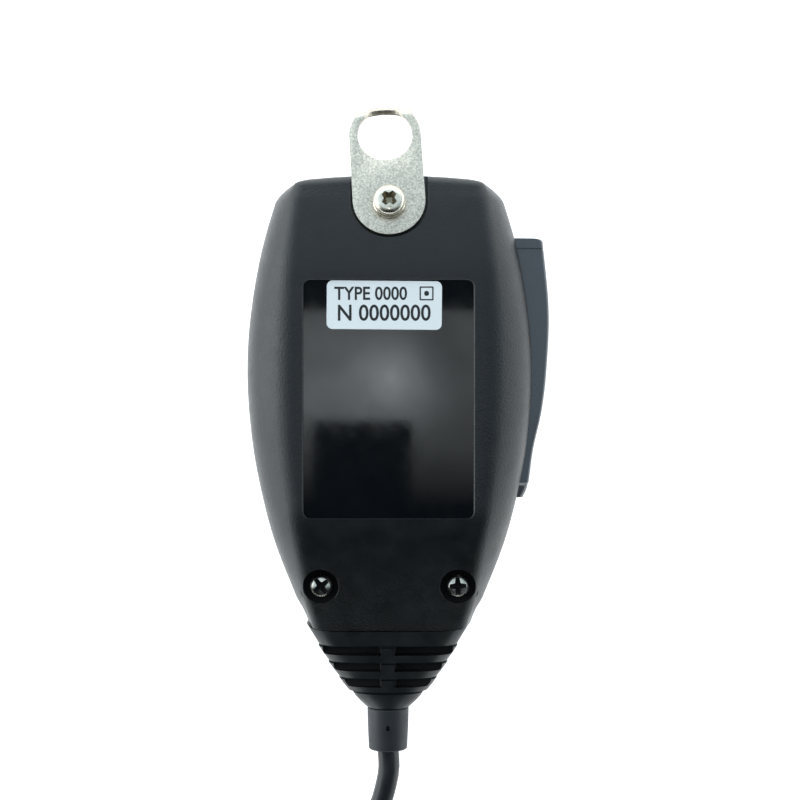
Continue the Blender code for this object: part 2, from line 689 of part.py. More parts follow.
def capsule(metal, rubber, cloth):
    """The capsule in its rubber holder, behind a disc of dust cloth."""
    place = (0, GRILLE_CENTRE, 0)
    cloth_low = WALL + GAP
    piece("dust_screen", rod(12.5, cloth_low, cloth_low + CLOTH_THICK, steps=24), cloth, place)
    low = cloth_low + CLOTH_THICK + GAP
    piece("capsule_holder", tube(7.5, CAPSULE_RADIUS + GAP, low, low + 6.5, 20), rubber, place)
    piece("mic_capsule", rod(CAPSULE_RADIUS, low, low + 6.0, steps=20), metal, place)


def boot_ring(distance, half_width):
    """A section of the boot: a soft rectangle at the case that becomes round at its end."""
    drop = min(1.0, distance / 18.6)
    half_height = smooth(BOOT_HALF_HEIGHT, distance)
    notch = smooth([(0, 18.5), (18.6, 4.95)], distance) - half_width
    if notch > 1.0:
        half_height -= 1.2
    power = 2.0 / (3.4 - 1.4 * drop)
    ring = []
    for i in range(24):
        angle = math.tau * i / 24
        cos, sin = math.cos(angle), math.sin(angle)
        ring.append((math.copysign(half_width * abs(cos)**power, cos),
                     math.copysign(half_height * abs(sin)**power, sin), distance))
    return ring


def cord_boot(surface):
    """The ribbed rubber boot, with a neck and a flange that the shells close on."""
    place, turn = (CORD_X, BOOT_START, CORD_HEIGHT), (90, 0, 0)
    boot = piece("cord_boot", loft([boot_ring(*step) for step in BOOT_STEPS]), surface,
                 place, turn)
    neck = WALL + 2 * GAP
    add(boot, [turned([(0, 1.0), (NECK_RADIUS, 1.0), (NECK_RADIUS, -neck), (7.9, -neck),
                       (7.9, -neck - 1.8), (0, -neck - 1.8)], 24)], place, turn)
    slots = []
    for start in BOOT_RIBS:
        half = smooth([(3.6, 14.6), (16, 7.0)], start)
        height = smooth(BOOT_HALF_HEIGHT, start + 1.0)
        for side in (-1, 1):
            for face in (-1, 1):
                centre = (side * (1.05 + half / 2), face * (height + 1.0))
                slots.append(block((half - 1.6, 6.0), start + 0.4, start + 1.9, centre))
    cut(boot, slots, place, turn)
    cut(boot, [rod(CORD_RADIUS + GAP, -8, 25, steps=16)], place, turn)
    simplify(boot)


def cord_exit(surfaces):
    cord_boot(surfaces["boot"])
    length = SLEEVE_START - SLEEVE_END
    bore = CORD_RADIUS + GAP
    piece("cord_sleeve", turned([(4.85, 0), (4.6, length - 0.6), (4.1, length), (bore, length),
                                 (bore, 0)], 20, ring=True),
          surfaces["sleeve"], (CORD_X, SLEEVE_START, CORD_HEIGHT), (90, 0, 0))
    piece("cord_tail", rod(CORD_RADIUS, 0, TAIL_END - SLEEVE_END, steps=12), surfaces["cord"],
          (CORD_X, TAIL_END, CORD_HEIGHT), (90, 0, 0))
    place = (0, CLAMP_Y, CORD_HEIGHT + CORD_RADIUS + GAP)
    clamp = piece("cord_clamp", slab(rounded((19.0, 5.0), 1.5), 0, CLAMP_THICK),
                  surfaces["steel"], place)
    for side, word in ((-1, "left"), (1, "right")):
        x = side * CLAMP_SCREW_X
        cut(clamp, [rod(BOARD_SCREW_SHANK + GAP, -1, 3, (x, 0), 12)], place)
        pan_screw("clamp_screw_" + word, surfaces["steel"], SMALL_HEAD,
                  (BOARD_SCREW_SHANK, 11.0), (x, CLAMP_Y, place[2] + CLAMP_THICK + GAP),
                  steps=10)


def case_screws(surface):
    for side, word in ((-1, "left"), (1, "right")):
        pan_screw("case_screw_" + word, surface, CASE_SCREW_HEAD, CASE_SCREW_SHANK,
                  (side * CASE_SCREW_X, CASE_SCREW_Y, WELL_FLOOR + GAP), (0, 0, 25 + side * 20))


def label(surface):
    low = PANEL_FLOOR + LABEL_LIFT
    piece("label", slab(rounded(LABEL_SIZE, LABEL_CORNER), low, low + LABEL_THICK), surface,
          (*LABEL_CENTRE, 0), (0, 0, LABEL_TURN))


def cord_piece(name, route, radius, spacing, sides, surface):
    """A round cord along a route, made in metres."""
    points = through(route, spacing)
    line = bpy.data.curves.new(name, 'CURVE')
    line.dimensions = '3D'
    line.bevel_depth = radius * MM
    line.bevel_resolution = sides
    line.use_fill_caps = True
    spline = line.splines.new('POLY')
    spline.points.add(len(points) - 1)
    for target, point in zip(spline.points, points):
        target.co = (*(point * MM), 1.0)
    line.materials.append(surface)
    cord = bpy.data.objects.new(name, line)
    bpy.context.scene.collection.objects.link(cord)


def free_cord(surface):
    cord_piece("cord_lead", LEAD_ROUTE, CORD_RADIUS, 8.0, 2, surface)
    cord_piece("cord_curl", CURL_ROUTE, CURL_RADIUS, 7.0, 3, surface)
    cord_piece("cord_end", END_ROUTE, CORD_RADIUS, 8.0, 2, surface)


def plug(surfaces):
    """The round plug. Its axis runs along -Y from the end of the cord."""
    x, y, z = PLUG_START
    turn = (90, 0, 0)
    piece("plug_boot", turned([(0, 0), (3.4, 0), (3.6, 1.0), (4.8, 13.0), (5.4, 14.0),
                               (5.4, PLUG_BOOT_LENGTH), (0, PLUG_BOOT_LENGTH)], 20),
          surfaces["boot"], (x, y, z), turn)
    shell_start = y - PLUG_BOOT_LENGTH - GAP
    shell_profile = [(6.4, 0), (7.6, 1.2), (7.6, 24.0), (6.6, 24.0), (6.6, 16.0), (2.0, 16.0),
                     (2.0, 2.0), (2.0, 0)]
    piece("plug_shell", turned(shell_profile, 24, ring=True), surfaces["chrome"],
          (x, shell_start, z), turn)
    piece("plug_insert", rod(6.2, 16.0 + GAP, 23.0, steps=20), surfaces["insert"],
          (x, shell_start, z), turn)
    spots = [(0, 0)]
    for i in range(7):
        angle = math.tau * i / 7
        spots.append((PLUG_PIN_CIRCLE * math.cos(angle), PLUG_PIN_CIRCLE * math.sin(angle)))
    cut(bpy.data.objects["plug_insert"], [rod(0.6, 20.0, 26.0, spot, 6) for spot in spots],
        (x, shell_start, z), turn)
    piece("plug_ring", turned([(9.0, -6.0), (9.3, -5.4), (9.3, 5.4), (9.0, 6.0), (7.9, 6.0),
                               (7.9, -6.0)], 24, ring=True),
          surfaces["ring"], (x, shell_start - RING_CENTRE, z), turn)


def to_metres():
    """Turn everything from millimetres into metres."""
    for thing in bpy.data.objects:
        thing.data.transform(Matrix.Scale(MM, 4))
        thing.location *= MM


def centre_under_microphone(cord_names):
    """Hang everything on one empty and shift it so that the origin is under the middle."""
    frame = bpy.data.objects.new("microphone_frame", None)
    bpy.context.scene.collection.objects.link(frame)
    bpy.context.view_layer.update()
    corners = []
    for thing in bpy.data.objects:
        if thing.type != 'EMPTY' and thing.name not in cord_names:
            corners += [thing.matrix_world @ vert.co for vert in thing.data.vertices]
    low = Vector([min(corner[i] for corner in corners) for i in range(3)])
    high = Vector([max(corner[i] for corner in corners) for i in range(3)])
    for thing in bpy.data.objects:
        if thing is not frame:
            thing.parent = frame
    frame.location = (-(low.x + high.x) / 2, -(low.y + high.y) / 2, -low.z)


def shade(angle_deg):
    """Smooth the round faces and keep the edges sharper than the angle."""
    for thing in bpy.data.objects:
        if thing.type == 'MESH':
            thing.data.shade_smooth()
            thing.data.set_sharp_from_angle(angle=math.radians(angle_deg))


def main():
    clear_scene()
    surfaces = {
        "case": material("case_plastic", (0.035, 0.038, 0.045), 0.55),
        "lever": material("lever_plastic", (0.045, 0.047, 0.06), 0.4),
        "nickel": material("nickelled_steel", (0.72, 0.71, 0.66), 0.3, 1.0),
        "steel": material("screw_steel", (0.6, 0.59, 0.55), 0.3, 1.0),
        "black_steel": material("black_screw_steel", (0.12, 0.12, 0.12), 0.35, 1.0),
        "brass": material("insert_brass", (0.75, 0.55, 0.22), 0.35, 1.0),
        "label": material("label_film", (0.8, 0.8, 0.8), 0.5),
        "boot": material("boot_rubber", (0.02, 0.022, 0.026), 0.6),
        "sleeve": material("sleeve_rubber", (0.035, 0.037, 0.043), 0.5),
        "cord": material("cord_jacket", (0.025, 0.026, 0.03), 0.5),
        "key": material("key_plastic", (0.5, 0.5, 0.5), 0.5),
        "mat": material("mat_silicone", (0.6, 0.6, 0.6), 0.7),
        "board": material("board_laminate", (0.03, 0.2, 0.08), 0.4),
        "chip": material("chip_resin", (0.02, 0.02, 0.02), 0.5),
        "capacitor": material("capacitor_sleeve", (0.05, 0.06, 0.12), 0.35),
        "socket": material("socket_nylon", (0.75, 0.72, 0.62), 0.5),
        "led": material("led_lens", (0.5, 0.04, 0.03), 0.2),
        "capsule": material("capsule_aluminium", (0.75, 0.75, 0.77), 0.3, 1.0),
        "cloth": material("dust_cloth", (0.02, 0.02, 0.02), 0.9),
        "switch": material("switch_resin", (0.05, 0.05, 0.05), 0.5),
        "plunger": material("plunger_nylon", (0.7, 0.1, 0.08), 0.4),
        "chrome": material("shell_chrome", (0.8, 0.8, 0.8), 0.2, 1.0),
        "ring": material("ring_chrome", (0.75, 0.75, 0.75), 0.3, 1.0),
        "insert": material("insert_resin", (0.03, 0.03, 0.03), 0.5),
    }
    rear_cover(surfaces["case"])
    front_cover(surfaces["case"])
    label(surfaces["label"])
    hanger(surfaces["nickel"], surfaces["steel"], surfaces["brass"])
    case_screws(surfaces["black_steel"])
    ptt_lever(surfaces["lever"])
    switch(surfaces["switch"], surfaces["plunger"])
    keypad(surfaces["key"], surfaces["mat"])
    board(surfaces)
    capsule(surfaces["capsule"], surfaces["boot"], surfaces["cloth"])
    cord_exit(surfaces)
    plug(surfaces)
    shade(35)
    to_metres()
    free_cord(surfaces["cord"])
    centre_under_microphone({"cord_lead", "cord_curl", "cord_end", "plug_boot", "plug_shell",
                             "plug_insert", "plug_ring"})


main()
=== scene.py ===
"""Looks of the hand microphone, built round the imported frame.

The pieces are drawn in millimetres, in the same drawing frame as the design: X across the case
from its middle plane, Y towards the hanger, Z up from the face that it lies on. Each piece is
then moved into the row frame, in metres.
"""
import math

import bmesh
import bpy
from mathutils import Matrix, Vector


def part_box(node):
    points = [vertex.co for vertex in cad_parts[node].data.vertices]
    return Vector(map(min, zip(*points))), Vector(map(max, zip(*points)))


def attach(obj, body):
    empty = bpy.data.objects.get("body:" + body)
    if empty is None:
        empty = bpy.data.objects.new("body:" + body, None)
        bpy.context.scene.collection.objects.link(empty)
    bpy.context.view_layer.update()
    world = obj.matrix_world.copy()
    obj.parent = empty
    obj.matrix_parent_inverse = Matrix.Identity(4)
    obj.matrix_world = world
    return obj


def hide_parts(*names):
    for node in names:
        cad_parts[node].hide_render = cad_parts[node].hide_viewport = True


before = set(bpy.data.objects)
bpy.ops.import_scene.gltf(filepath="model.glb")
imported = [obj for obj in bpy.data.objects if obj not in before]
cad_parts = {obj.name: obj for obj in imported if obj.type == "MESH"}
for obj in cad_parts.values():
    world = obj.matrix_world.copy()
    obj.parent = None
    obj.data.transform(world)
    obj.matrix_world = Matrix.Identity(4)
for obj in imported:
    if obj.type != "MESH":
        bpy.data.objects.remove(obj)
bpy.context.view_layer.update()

# Drawing: one unit in metres, how close points are merged, the steps in a stretch of a curve,
# and the angles in degrees from which an edge is shaded as sharp
MM = 0.001
MERGE = 0.002
CURVE_STEPS = 20
SHARP_ANGLE = 32
CASE_SHARP = 24

# The drawing frame: the capsule stands on the case's middle plane, under the grille's centre.
GRILLE_CENTRE = 32.0
capsule_low, capsule_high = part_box("mic_capsule")
SHIFT = Vector(((capsule_low.x + capsule_high.x) / 2,
                (capsule_low.y + capsule_high.y) / 2 - GRILLE_CENTRE * MM, 0.0))

# Case, as designed
CASE_TOP = 51.4
CASE_BOTTOM = -52.6
CORNER_LENGTH = 6.0
CORNER_WIDTH = 5.0
END_LIFT = 1.2
PARTING = 15.0
WALL = 2.0
GAP = 0.3
EDGE_ROUND = 2.0
SHOULDER_DROP = 6.0
FRONT_ROUND = 5.0
CASE_HALF_WIDTH = [(-52.6, 18.6), (-43.9, 22.2), (-32.7, 26.5), (-21.5, 29.5), (-10.3, 31.6),
                   (3.7, 32.8), (17.7, 32.3), (34.5, 29.5), (51.4, 24.6)]
CREASE_HALF_WIDTH = [(-52.6, 17.2), (-48, 18.3), (-34, 20.3), (-21, 21.8), (-5, 23.2),
                     (16, 23.3), (30, 22.7), (51.4, 20.9)]
BACK_HEIGHT = [(-52.6, 22.0), (-45, 25.0), (-36, 28.3), (-29, 30.3), (-24, 31.0),
               (28, 31.0), (34, 30.4), (42, 28.7), (51.4, 26.2)]
FRONT_HEIGHT = [(-52.6, 3.0), (-44, 1.0), (-37, 0.0), (0, 0.0)]

# Panel, label and hanger
PANEL_SIZE = (37.9, 53.1)
PANEL_CENTRE = (-0.15, 0.15)
PANEL_CORNER = 1.5
PANEL_FLOOR = 30.4
LABEL_SIZE = (25.6, 10.8)
LABEL_CENTRE = (-1.1, 21.1)
LABEL_CORNER = 1.3
LABEL_TURN = -0.5
LABEL_LOW = 30.5
LABEL_THICK = 0.15
INK_THICK = 0.02
HANGER_PIVOT = (0.0, 43.7, 26.6)
HANGER_TILT = -14.0
HANGER_TURN = 3.5
HANGER_HALF_WIDTH = 8.15
HANGER_THICK = 1.2
STRAP_EDGE = 0.16
FOOT_CENTRE = 0.85
HANGER_KNEE = 5.0
HANGER_KNEE_DEG = 1.5
EYE_DISTANCE = 16.65
EYE_RADIUS = 6.2
LIP_START = 21.05
LIP_BEND_RADIUS = 1.5
LIP_BEND_DEG = 45.0
RECESS_HALF_WIDTH = 8.65

# Screws: a size is the head's radius and height, then the shank's radius and length
WASHER_THICK = 0.8
WASHER_RADII = (2.3, 3.6)
WASHER_SPLIT = 0.7
BROKEN_EDGE = 0.12
HANGER_SCREW = (3.5, 2.1, 2.0, 7.0)
CASE_SCREW = (2.75, 2.0, 1.5, 17.5)
INSERT_RADIUS = 3.0
INSERT_LENGTH = 4.5
CASE_SCREW_X = 15.5
CASE_SCREW_Y = -42.1
WELL_RADIUS = 3.8
WELL_FLOOR = 22.6
CASE_BOSS_RADIUS = 3.4
CLAMP_BOSS_X = 6.8
CLAMP_BOSS_Y = -43.0
BACK_SLOPE = 20.0
BOSS_SPLIT = 9.0

# Lever, keys, board and grille
LEVER_PIVOT = (25.0, -19.5, 11.5)
LEVER_LOW = 5.5
LEVER_HIGH = 17.5
LEVER_TOP = 37.4
LEVER_FOOT = -22.6
LEVER_OUTER = [(-22.6, 31.1), (-20.4, 32.0), (-11.5, 33.3), (-2.6, 35.3), (6.3, 36.4),
               (20.5, 37.0), (37.4, 35.5)]
LEVER_INNER = 27.8
LEVER_PLAY = 0.4
SLOT_DEPTH = (23.0, 42.0)
TRUNNION_RADIUS = 1.2
TRUNNION_REACH = 2.0
TRUNNION_BOSS_RADIUS = 2.4
NUB_TIP = 25.2
KEY_COLUMNS = [13.5, 4.5, -4.5, -13.5]
KEY_ROWS = [-2.3, -10.7, -19.1, -27.5]
KEY_NAMES = ["1", "2", "3", "a", "4", "5", "6", "b", "7", "8", "9", "c", "star", "0", "hash", "d"]
KEY_SIGNS = {"star": "*", "hash": "#"}
KEY_SIZE = (7.0, 5.4)
STEP_KEY_SIZE = (13.0, 5.4)
STEP_KEY_X = 8.5
STEP_KEY_Y = 7.4
KEY_TOP = 0.3
KEY_FLANGE = 3.6
KEY_BACK = 4.1
FIELD_SIZE = (36.4, 44.6)
FIELD_CENTRE = (0.0, -10.0)
FIELD_FLOOR = 1.5
FIELD_BACK = 3.3
BOARD_LOW = 6.1
BOARD_SCREWS = [(-17.2, 16.6), (17.2, 16.6), (-16.6, -34.4), (16.6, -34.4)]
GRILLE_RADIUS = 11.0
GRILLE_PITCH = 4.0
GRILLE_SLOTS = 5
SLOT_HEIGHT = 1.8

# Boot, cord and plug: a boot step is a distance, a half width and whether it lies in a groove
CORD_X = -0.4
CORD_HEIGHT = 12.3
CORD_RADIUS = 2.5
CORD_SPACING = 1.9
ALONG_CORD = (90, 0, 0)
NECK_RADIUS = 6.6
BOOT_START = CASE_BOTTOM - GAP
SLEEVE_START = -71.5 - GAP
SLEEVE_END = -81.5
BOOT_STEPS = [(0.0, 18.85, 0), (3.4, 16.2, 0), (3.5, 15.6, 1), (3.9, 15.6, 1), (4.0, 16.2, 0),
              (5.6, 15.2, 0), (7.4, 13.9, 0), (7.5, 13.2, 1), (7.8, 13.2, 1), (7.9, 13.9, 0),
              (9.5, 12.8, 0), (11.2, 11.5, 0), (11.3, 10.6, 1), (11.6, 10.6, 1), (11.7, 11.4, 0),
              (13.0, 10.5, 0), (14.5, 9.3, 0), (14.6, 8.3, 1), (14.9, 8.3, 1), (15.0, 8.3, 0),
              (16.0, 7.7, 0), (17.2, 6.6, 0), (18.6, 5.1, 0)]
BOOT_HALF_HEIGHT = [(0.0, 9.3), (15.0, 6.3), (18.6, 4.95)]
BOOT_RIBS = [4.1, 7.9, 11.7]
BOOT_FLANGE = 3.4
BOOT_LENGTH = 18.6
BOOT_BRIDGE = 1.05
BOOT_SLOT_CENTRE = 8.4
CURL_PITCH = 5.25
CURL_MEAN_RADIUS = 5.45
CURL_REACH = 12
LEAD_ROUTE = [(-0.4, -81.8, 12.3), (-0.4, -88, 11.9), (-3.5, -98, 10.2), (-11, -107.5, 8.7),
              (-13.9, -114, 8.2), (-14, -119.6, 8.2)]
CURL_ROUTE = [(-14, -120.1, 8.2), (-14.3, -130, 8.2), (-15.5, -160, 8.2), (-16, -195, 8.2),
              (-14.6, -220, 8.2), (-9.6, -232, 8.2), (0, -236.5, 8.2), (9.6, -232, 8.2),
              (14.6, -220, 8.2), (16, -195, 8.2), (15, -160, 8.2), (14, -138, 8.2),
              (14, -130, 8.2)]
END_ROUTE = [(14, -129.5, 8.2), (14.1, -124, 8.0), (19, -113, 5.6), (28, -108.5, 3.6),
             (36, -114, 4.2), (38.4, -126, 6.6), (38, -139, 9.2), (38, -145.7, 9.6)]
PLUG_START = (38.0, -146.0, 9.6)
PLUG_BOOT_LENGTH = 16.0
PLUG_BOOT_RIDGES = 5
OUTER_CONTACTS = 7
CONTACT_CIRCLE = 4.0
RING_MIDDLE = 20.0
KNURL_RIDGES = 40
KNURL_DEPTH = 0.22

# Camera: straight above, with the case a little to the left of the middle of the picture
CAMERA_X = 2.4
CAMERA_HEIGHT = 371.0
CAMERA_LENS = 68.9
SENSOR = 36.0

# Surroundings: the ceiling's sheets, by their left, right, near and far edges, leave a dark gap.
# The sky is darkened on its near side, and in a small hole overhead.
CEILING_HEIGHT = 371.5
CEILING_SHEETS = [(-46, 46, -9.4, 40), (-46, -36.5, -46, -9.4), (7.6, 46, -46, -9.4)]
FLOOR_SIDE = 6000
FLOOR_GLOW = 1.0
KEY_LIGHT_SIZE = 0.5
KEY_LIGHT_PLACE = (-620, 60, 300)
KEY_LIGHT_POWER = 1.3
SKY_NEAR = (0.05, -0.35)
SKY_HOLE = (0.984, 0.994)
SKY_LOW = 3.0
SKY_HIGH = 0.85
SKY_DARK = 0.015
SKY_ZENITH = 0.08
SKY_SIDES = (1.2, 0.8)

# Slow changes of colour in moulded parts, in patches to the metre
PATCH_SCALE = 60


# ---- curves and shapes

def smooth(points, x):
    """The value at x of a smooth curve through (x, value) points, level beyond its ends."""
    for end, beyond in ((points[0], x <= points[0][0]), (points[-1], x >= points[-1][0])):
        if beyond:
            return end[1]
    slopes = []
    for i in range(len(points)):
        before = points[max(i - 1, 0)]
        after = points[min(i + 1, len(points) - 1)]
        slopes.append((after[1] - before[1]) / (after[0] - before[0]))
    i = max(k for k in range(len(points) - 1) if points[k][0] <= x)
    (x0, y0), (x1, y1) = points[i], points[i + 1]
    step = x1 - x0
    t = (x - x0) / step
    start = (2 * t**3 - 3 * t**2 + 1) * y0 + (t**3 - 2 * t**2 + t) * step * slopes[i]
    end = (3 * t**2 - 2 * t**3) * y1 + (t**3 - t**2) * step * slopes[i + 1]
    return start + end


def bow(start, control, end, steps):
    """Points inside a quadratic curve from start to end, without the two ends."""
    points = []
    for i in range(1, steps):
        t = i / steps
        points.append(tuple((1 - t)**2 * a + 2 * t * (1 - t) * b + t**2 * c
                            for a, b, c in zip(start, control, end)))
    return points


def running_lengths(points):
    """The distance along a line of points to each of them."""
    lengths = [0.0]
    for a, b in zip(points, points[1:]):
        lengths.append(lengths[-1] + (b - a).length)
    return lengths


def through(route, spacing):
    """Evenly spaced points on a smooth curve through the points of a route."""
    route = [Vector(point) for point in route]
    fine = []
    for i in range(len(route) - 1):
        before = route[max(i - 1, 0)]
        after = route[min(i + 2, len(route) - 1)]
        a, b = route[i], route[i + 1]
        for k in range(CURVE_STEPS):
            t = k / CURVE_STEPS
            fine.append(0.5 * (2 * a + (b - before) * t
                               + (2 * before - 5 * a + 4 * b - after) * t**2
                               + (3 * a - before - 3 * b + after) * t**3))
    fine.append(route[-1])
    lengths = running_lengths(fine)
    count = max(2, round(lengths[-1] / spacing))
    points = []
    k = 0
    for n in range(count + 1):
        wanted = lengths[-1] * n / count
        while k < len(fine) - 2 and lengths[k + 1] < wanted:
            k += 1
        share = (wanted - lengths[k]) / (lengths[k + 1] - lengths[k])
        points.append(fine[k].lerp(fine[k + 1], share))
    return points


def loft(rings):
    """A closed body through rings of equal length, with a flat face at each end."""
    shape = bmesh.new()
    loops = [[shape.verts.new(point) for point in ring] for ring in rings]
    for near, far in zip(loops, loops[1:]):
        for i in range(len(near)):
            j = (i + 1) % len(near)
            shape.faces.new((near[i], near[j], far[j], far[i]))
    shape.faces.new(reversed(loops[0]))
    shape.faces.new(loops[-1])
    return shape


def slab(outline, low, high):
    """An outline in X and Y raised from low to high."""
    return loft([[(x, y, z) for x, y in outline] for z in (low, high)])


def tiers(levels):
    """A body through (outline, height) levels."""
    return loft([[(x, y, z) for x, y in outline] for outline, z in levels])


def block(size, low, high, centre=(0, 0)):
    """A rectangular block from low to high."""
    half_x, half_y = size[0] / 2, size[1] / 2
    x, y = centre
    return slab([(x - half_x, y - half_y), (x + half_x, y - half_y),
                 (x + half_x, y + half_y), (x - half_x, y + half_y)], low, high)


def turned(profile, steps=48, ring=False, ripple=None):
    """A body turned about Z from (radius, height) points. A ring's profile closes on itself.

    ripple, if given, adds to the radius at an angle: it takes the radius, height and angle.
    """
    shape = bmesh.new()
    columns = []
    for radius, height in profile:
        if radius == 0:
            columns.append([shape.verts.new((0, 0, height))] * steps)
            continue
        column = []
        for i in range(steps):
            angle = math.tau * i / steps
            reach = radius + (ripple(radius, height, angle) if ripple else 0.0)
            column.append(shape.verts.new((reach * math.cos(angle), reach * math.sin(angle),
                                           height)))
        columns.append(column)
    pairs = list(zip(columns, columns[1:]))
    if ring:
        pairs.append((columns[-1], columns[0]))
    for near, far in pairs:
        for i in range(steps):
            j = (i + 1) % steps
            corners = list(dict.fromkeys((near[i], near[j], far[j], far[i])))
            if len(corners) > 2:
                shape.faces.new(corners)
    return shape


def rod(radius, low, high, centre=(0, 0), steps=32):
    """An upright round rod."""
    shape = turned([(0, high), (radius, high), (radius, low), (0, low)], steps)
    bmesh.ops.translate(shape, vec=(*centre, 0), verts=shape.verts)
    return shape


def rounded(size, radius, steps=5, centre=(0, 0)):
    """The outline of a rectangle with round corners."""
    outline = []
    for quarter, (sx, sy) in enumerate([(1, 1), (-1, 1), (-1, -1), (1, -1)]):
        for i in range(steps + 1):
            angle = math.pi / 2 * (quarter + i / steps)
            outline.append((centre[0] + sx * (size[0] / 2 - radius) + radius * math.cos(angle),
                            centre[1] + sy * (size[1] / 2 - radius) + radius * math.sin(angle)))
    return outline


def stadium(half_width, top, centre=FOOT_CENTRE, steps=28):
    """An upright U outline: round below about its centre, and square at the top."""
    outline = []
    for i in range(steps + 1):
        angle = math.pi + math.pi * i / steps
        outline.append((half_width * math.cos(angle), centre + half_width * math.sin(angle)))
    return outline + [(half_width, top), (-half_width, top)]


def cross(reach, arm):
    """The outline of a cross recess."""
    quarter = [(reach, -arm), (reach, arm), (arm * 1.5, arm * 1.5)]
    outline = []
    for turn in range(4):
        angle = math.pi / 2 * turn
        outline += [(x * math.cos(angle) - y * math.sin(angle),
                     x * math.sin(angle) + y * math.cos(angle)) for x, y in quarter]
    return outline


# ---- pieces and cuts

def new_object(name, data):
    """A new object in the scene."""
    thing = bpy.data.objects.new(name, data)
    bpy.context.scene.collection.objects.link(thing)
    return thing


def form(name, shape, origin=(0, 0, 0), turn=(0, 0, 0)):
    """An object in the drawing frame, spun about its own Z first and then tilted."""
    quads = [face for face in shape.faces if len(face.verts) == 4]
    bmesh.ops.triangulate(shape, faces=quads)
    bmesh.ops.recalc_face_normals(shape, faces=shape.faces)
    mesh = bpy.data.meshes.new(name)
    shape.to_mesh(mesh)
    shape.free()
    thing = new_object(name, mesh)
    thing.location = origin
    thing.rotation_mode = 'ZYX'
    thing.rotation_euler = [math.radians(angle) for angle in turn]
    return thing


def evaluated_mesh(thing):
    """The mesh that an object's curves or modifiers come to."""
    bpy.context.view_layer.update()
    graph = bpy.context.evaluated_depsgraph_get()
    return bpy.data.meshes.new_from_object(thing.evaluated_get(graph))


def apply_modifiers(thing):
    """Make the modified mesh the object's own."""
    changed = evaluated_mesh(thing)
    thing.modifiers.clear()
    thing.data = changed


def weld(mesh):
    """Merge the points that a cut left on top of each other."""
    shape = bmesh.new()
    shape.from_mesh(mesh)
    bmesh.ops.remove_doubles(shape, verts=shape.verts, dist=MERGE)
    bmesh.ops.dissolve_degenerate(shape, edges=shape.edges, dist=MERGE)
    shape.to_mesh(mesh)
    shape.free()


def combine(target, operation, shapes, origin=(0, 0, 0), turn=(0, 0, 0)):
    """Cut the shapes out of the target, or add them to it, one after the other."""
    for shape in shapes:
        tool = form("tool", shape, origin, turn)
        change = target.modifiers.new("change", 'BOOLEAN')
        change.operation = operation
        change.solver = 'EXACT'
        change.object = tool
        apply_modifiers(target)
        bpy.data.objects.remove(tool, do_unlink=True)
        weld(target.data)


def cut(target, shapes, origin=(0, 0, 0), turn=(0, 0, 0)):
    combine(target, 'DIFFERENCE', shapes, origin, turn)


def add(target, shapes, origin=(0, 0, 0), turn=(0, 0, 0)):
    combine(target, 'UNION', shapes, origin, turn)


def bevel(thing, width, angle):
    """Round the edges that are sharper than the angle."""
    change = thing.modifiers.new("round", 'BEVEL')
    change.width = width
    change.segments = 2
    change.limit_method = 'ANGLE'
    change.angle_limit = math.radians(angle)
    apply_modifiers(thing)


def dress(thing, surfaces, sharp=SHARP_ANGLE):
    """Give a piece its materials, and smooth shading between its sharp edges."""
    thing.data.materials.clear()
    for surface in surfaces:
        thing.data.materials.append(SURFACES[surface])
    thing.data.shade_smooth()
    thing.data.set_sharp_from_angle(angle=math.radians(sharp))


def finish_piece(thing, surfaces, node=None, body="case", sharp=SHARP_ANGLE):
    """Move a drawn piece into the row frame, and say what it rides on and stands for."""
    bpy.context.view_layer.update()
    place = Matrix.Translation(SHIFT) @ Matrix.Scale(MM, 4)
    thing.data.transform(place @ thing.matrix_world)
    thing.matrix_world = Matrix.Identity(4)
    dress(thing, surfaces, sharp)
    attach(thing, body)
    if node:
        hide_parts(node)


def give_faces(thing, faces, index):
    """Give the listed faces another of the piece's materials."""
    for face in faces:
        thing.data.polygons[face].material_index = index


# ---- materials

def set_inputs(tree, node, inputs):
    """Link each input to an output, or set its fixed value."""
    for name, value in inputs.items():
        if isinstance(value, bpy.types.NodeSocket):
            tree.links.new(value, node.inputs[name])
        else:
            node.inputs[name].default_value = value


def add_node(tree, kind, inputs=None, **settings):
    """A shader node with its settings and fixed or linked inputs."""
    node = tree.nodes.new("ShaderNode" + kind)
    for name, value in settings.items():
        setattr(node, name, value)
    set_inputs(tree, node, inputs or {})
    return node


def noise(tree, scale, detail=3.0, roughness=0.55):
    """Noise over the piece's own coordinates, in patches of about 1/scale metres."""
    place = add_node(tree, "TexCoord").outputs["Object"]
    texture = add_node(tree, "TexNoise", {"Vector": place, "Scale": scale, "Detail": detail,
                                          "Roughness": roughness})
    return texture.outputs["Fac"]


def ramp(tree, value, low, high, out_low=0.0, out_high=1.0, kind='LINEAR'):
    """A value mapped from one range to another."""
    node = add_node(tree, "MapRange", {"Value": value, "From Min": low, "From Max": high,
                                       "To Min": out_low, "To Max": out_high},
                    interpolation_type=kind)
    return node.outputs["Result"]


def maths(tree, operation, first, second):
    """The sum or product of two values."""
    node = add_node(tree, "Math", {0: first, 1: second}, operation=operation)
    return node.outputs["Value"]


def blend_colour(tree, factor, first, second):
    """Two colours mixed by a factor."""
    node = add_node(tree, "Mix", {"Factor": factor}, data_type='RGBA')
    node.inputs[6].default_value = (*first, 1.0)
    node.inputs[7].default_value = (*second, 1.0)
    return node.outputs[2]


def new_surface(name, roughness=0.5, metallic=0.0):
    """A Principled material. Returns the material, its tree and its shader."""
    material = bpy.data.materials.new(name)
    material.use_nodes = True
    tree = material.node_tree
    shader = tree.nodes["Principled BSDF"]
    set_inputs(tree, shader, {"Roughness": roughness, "Metallic": metallic})
    return material, tree, shader


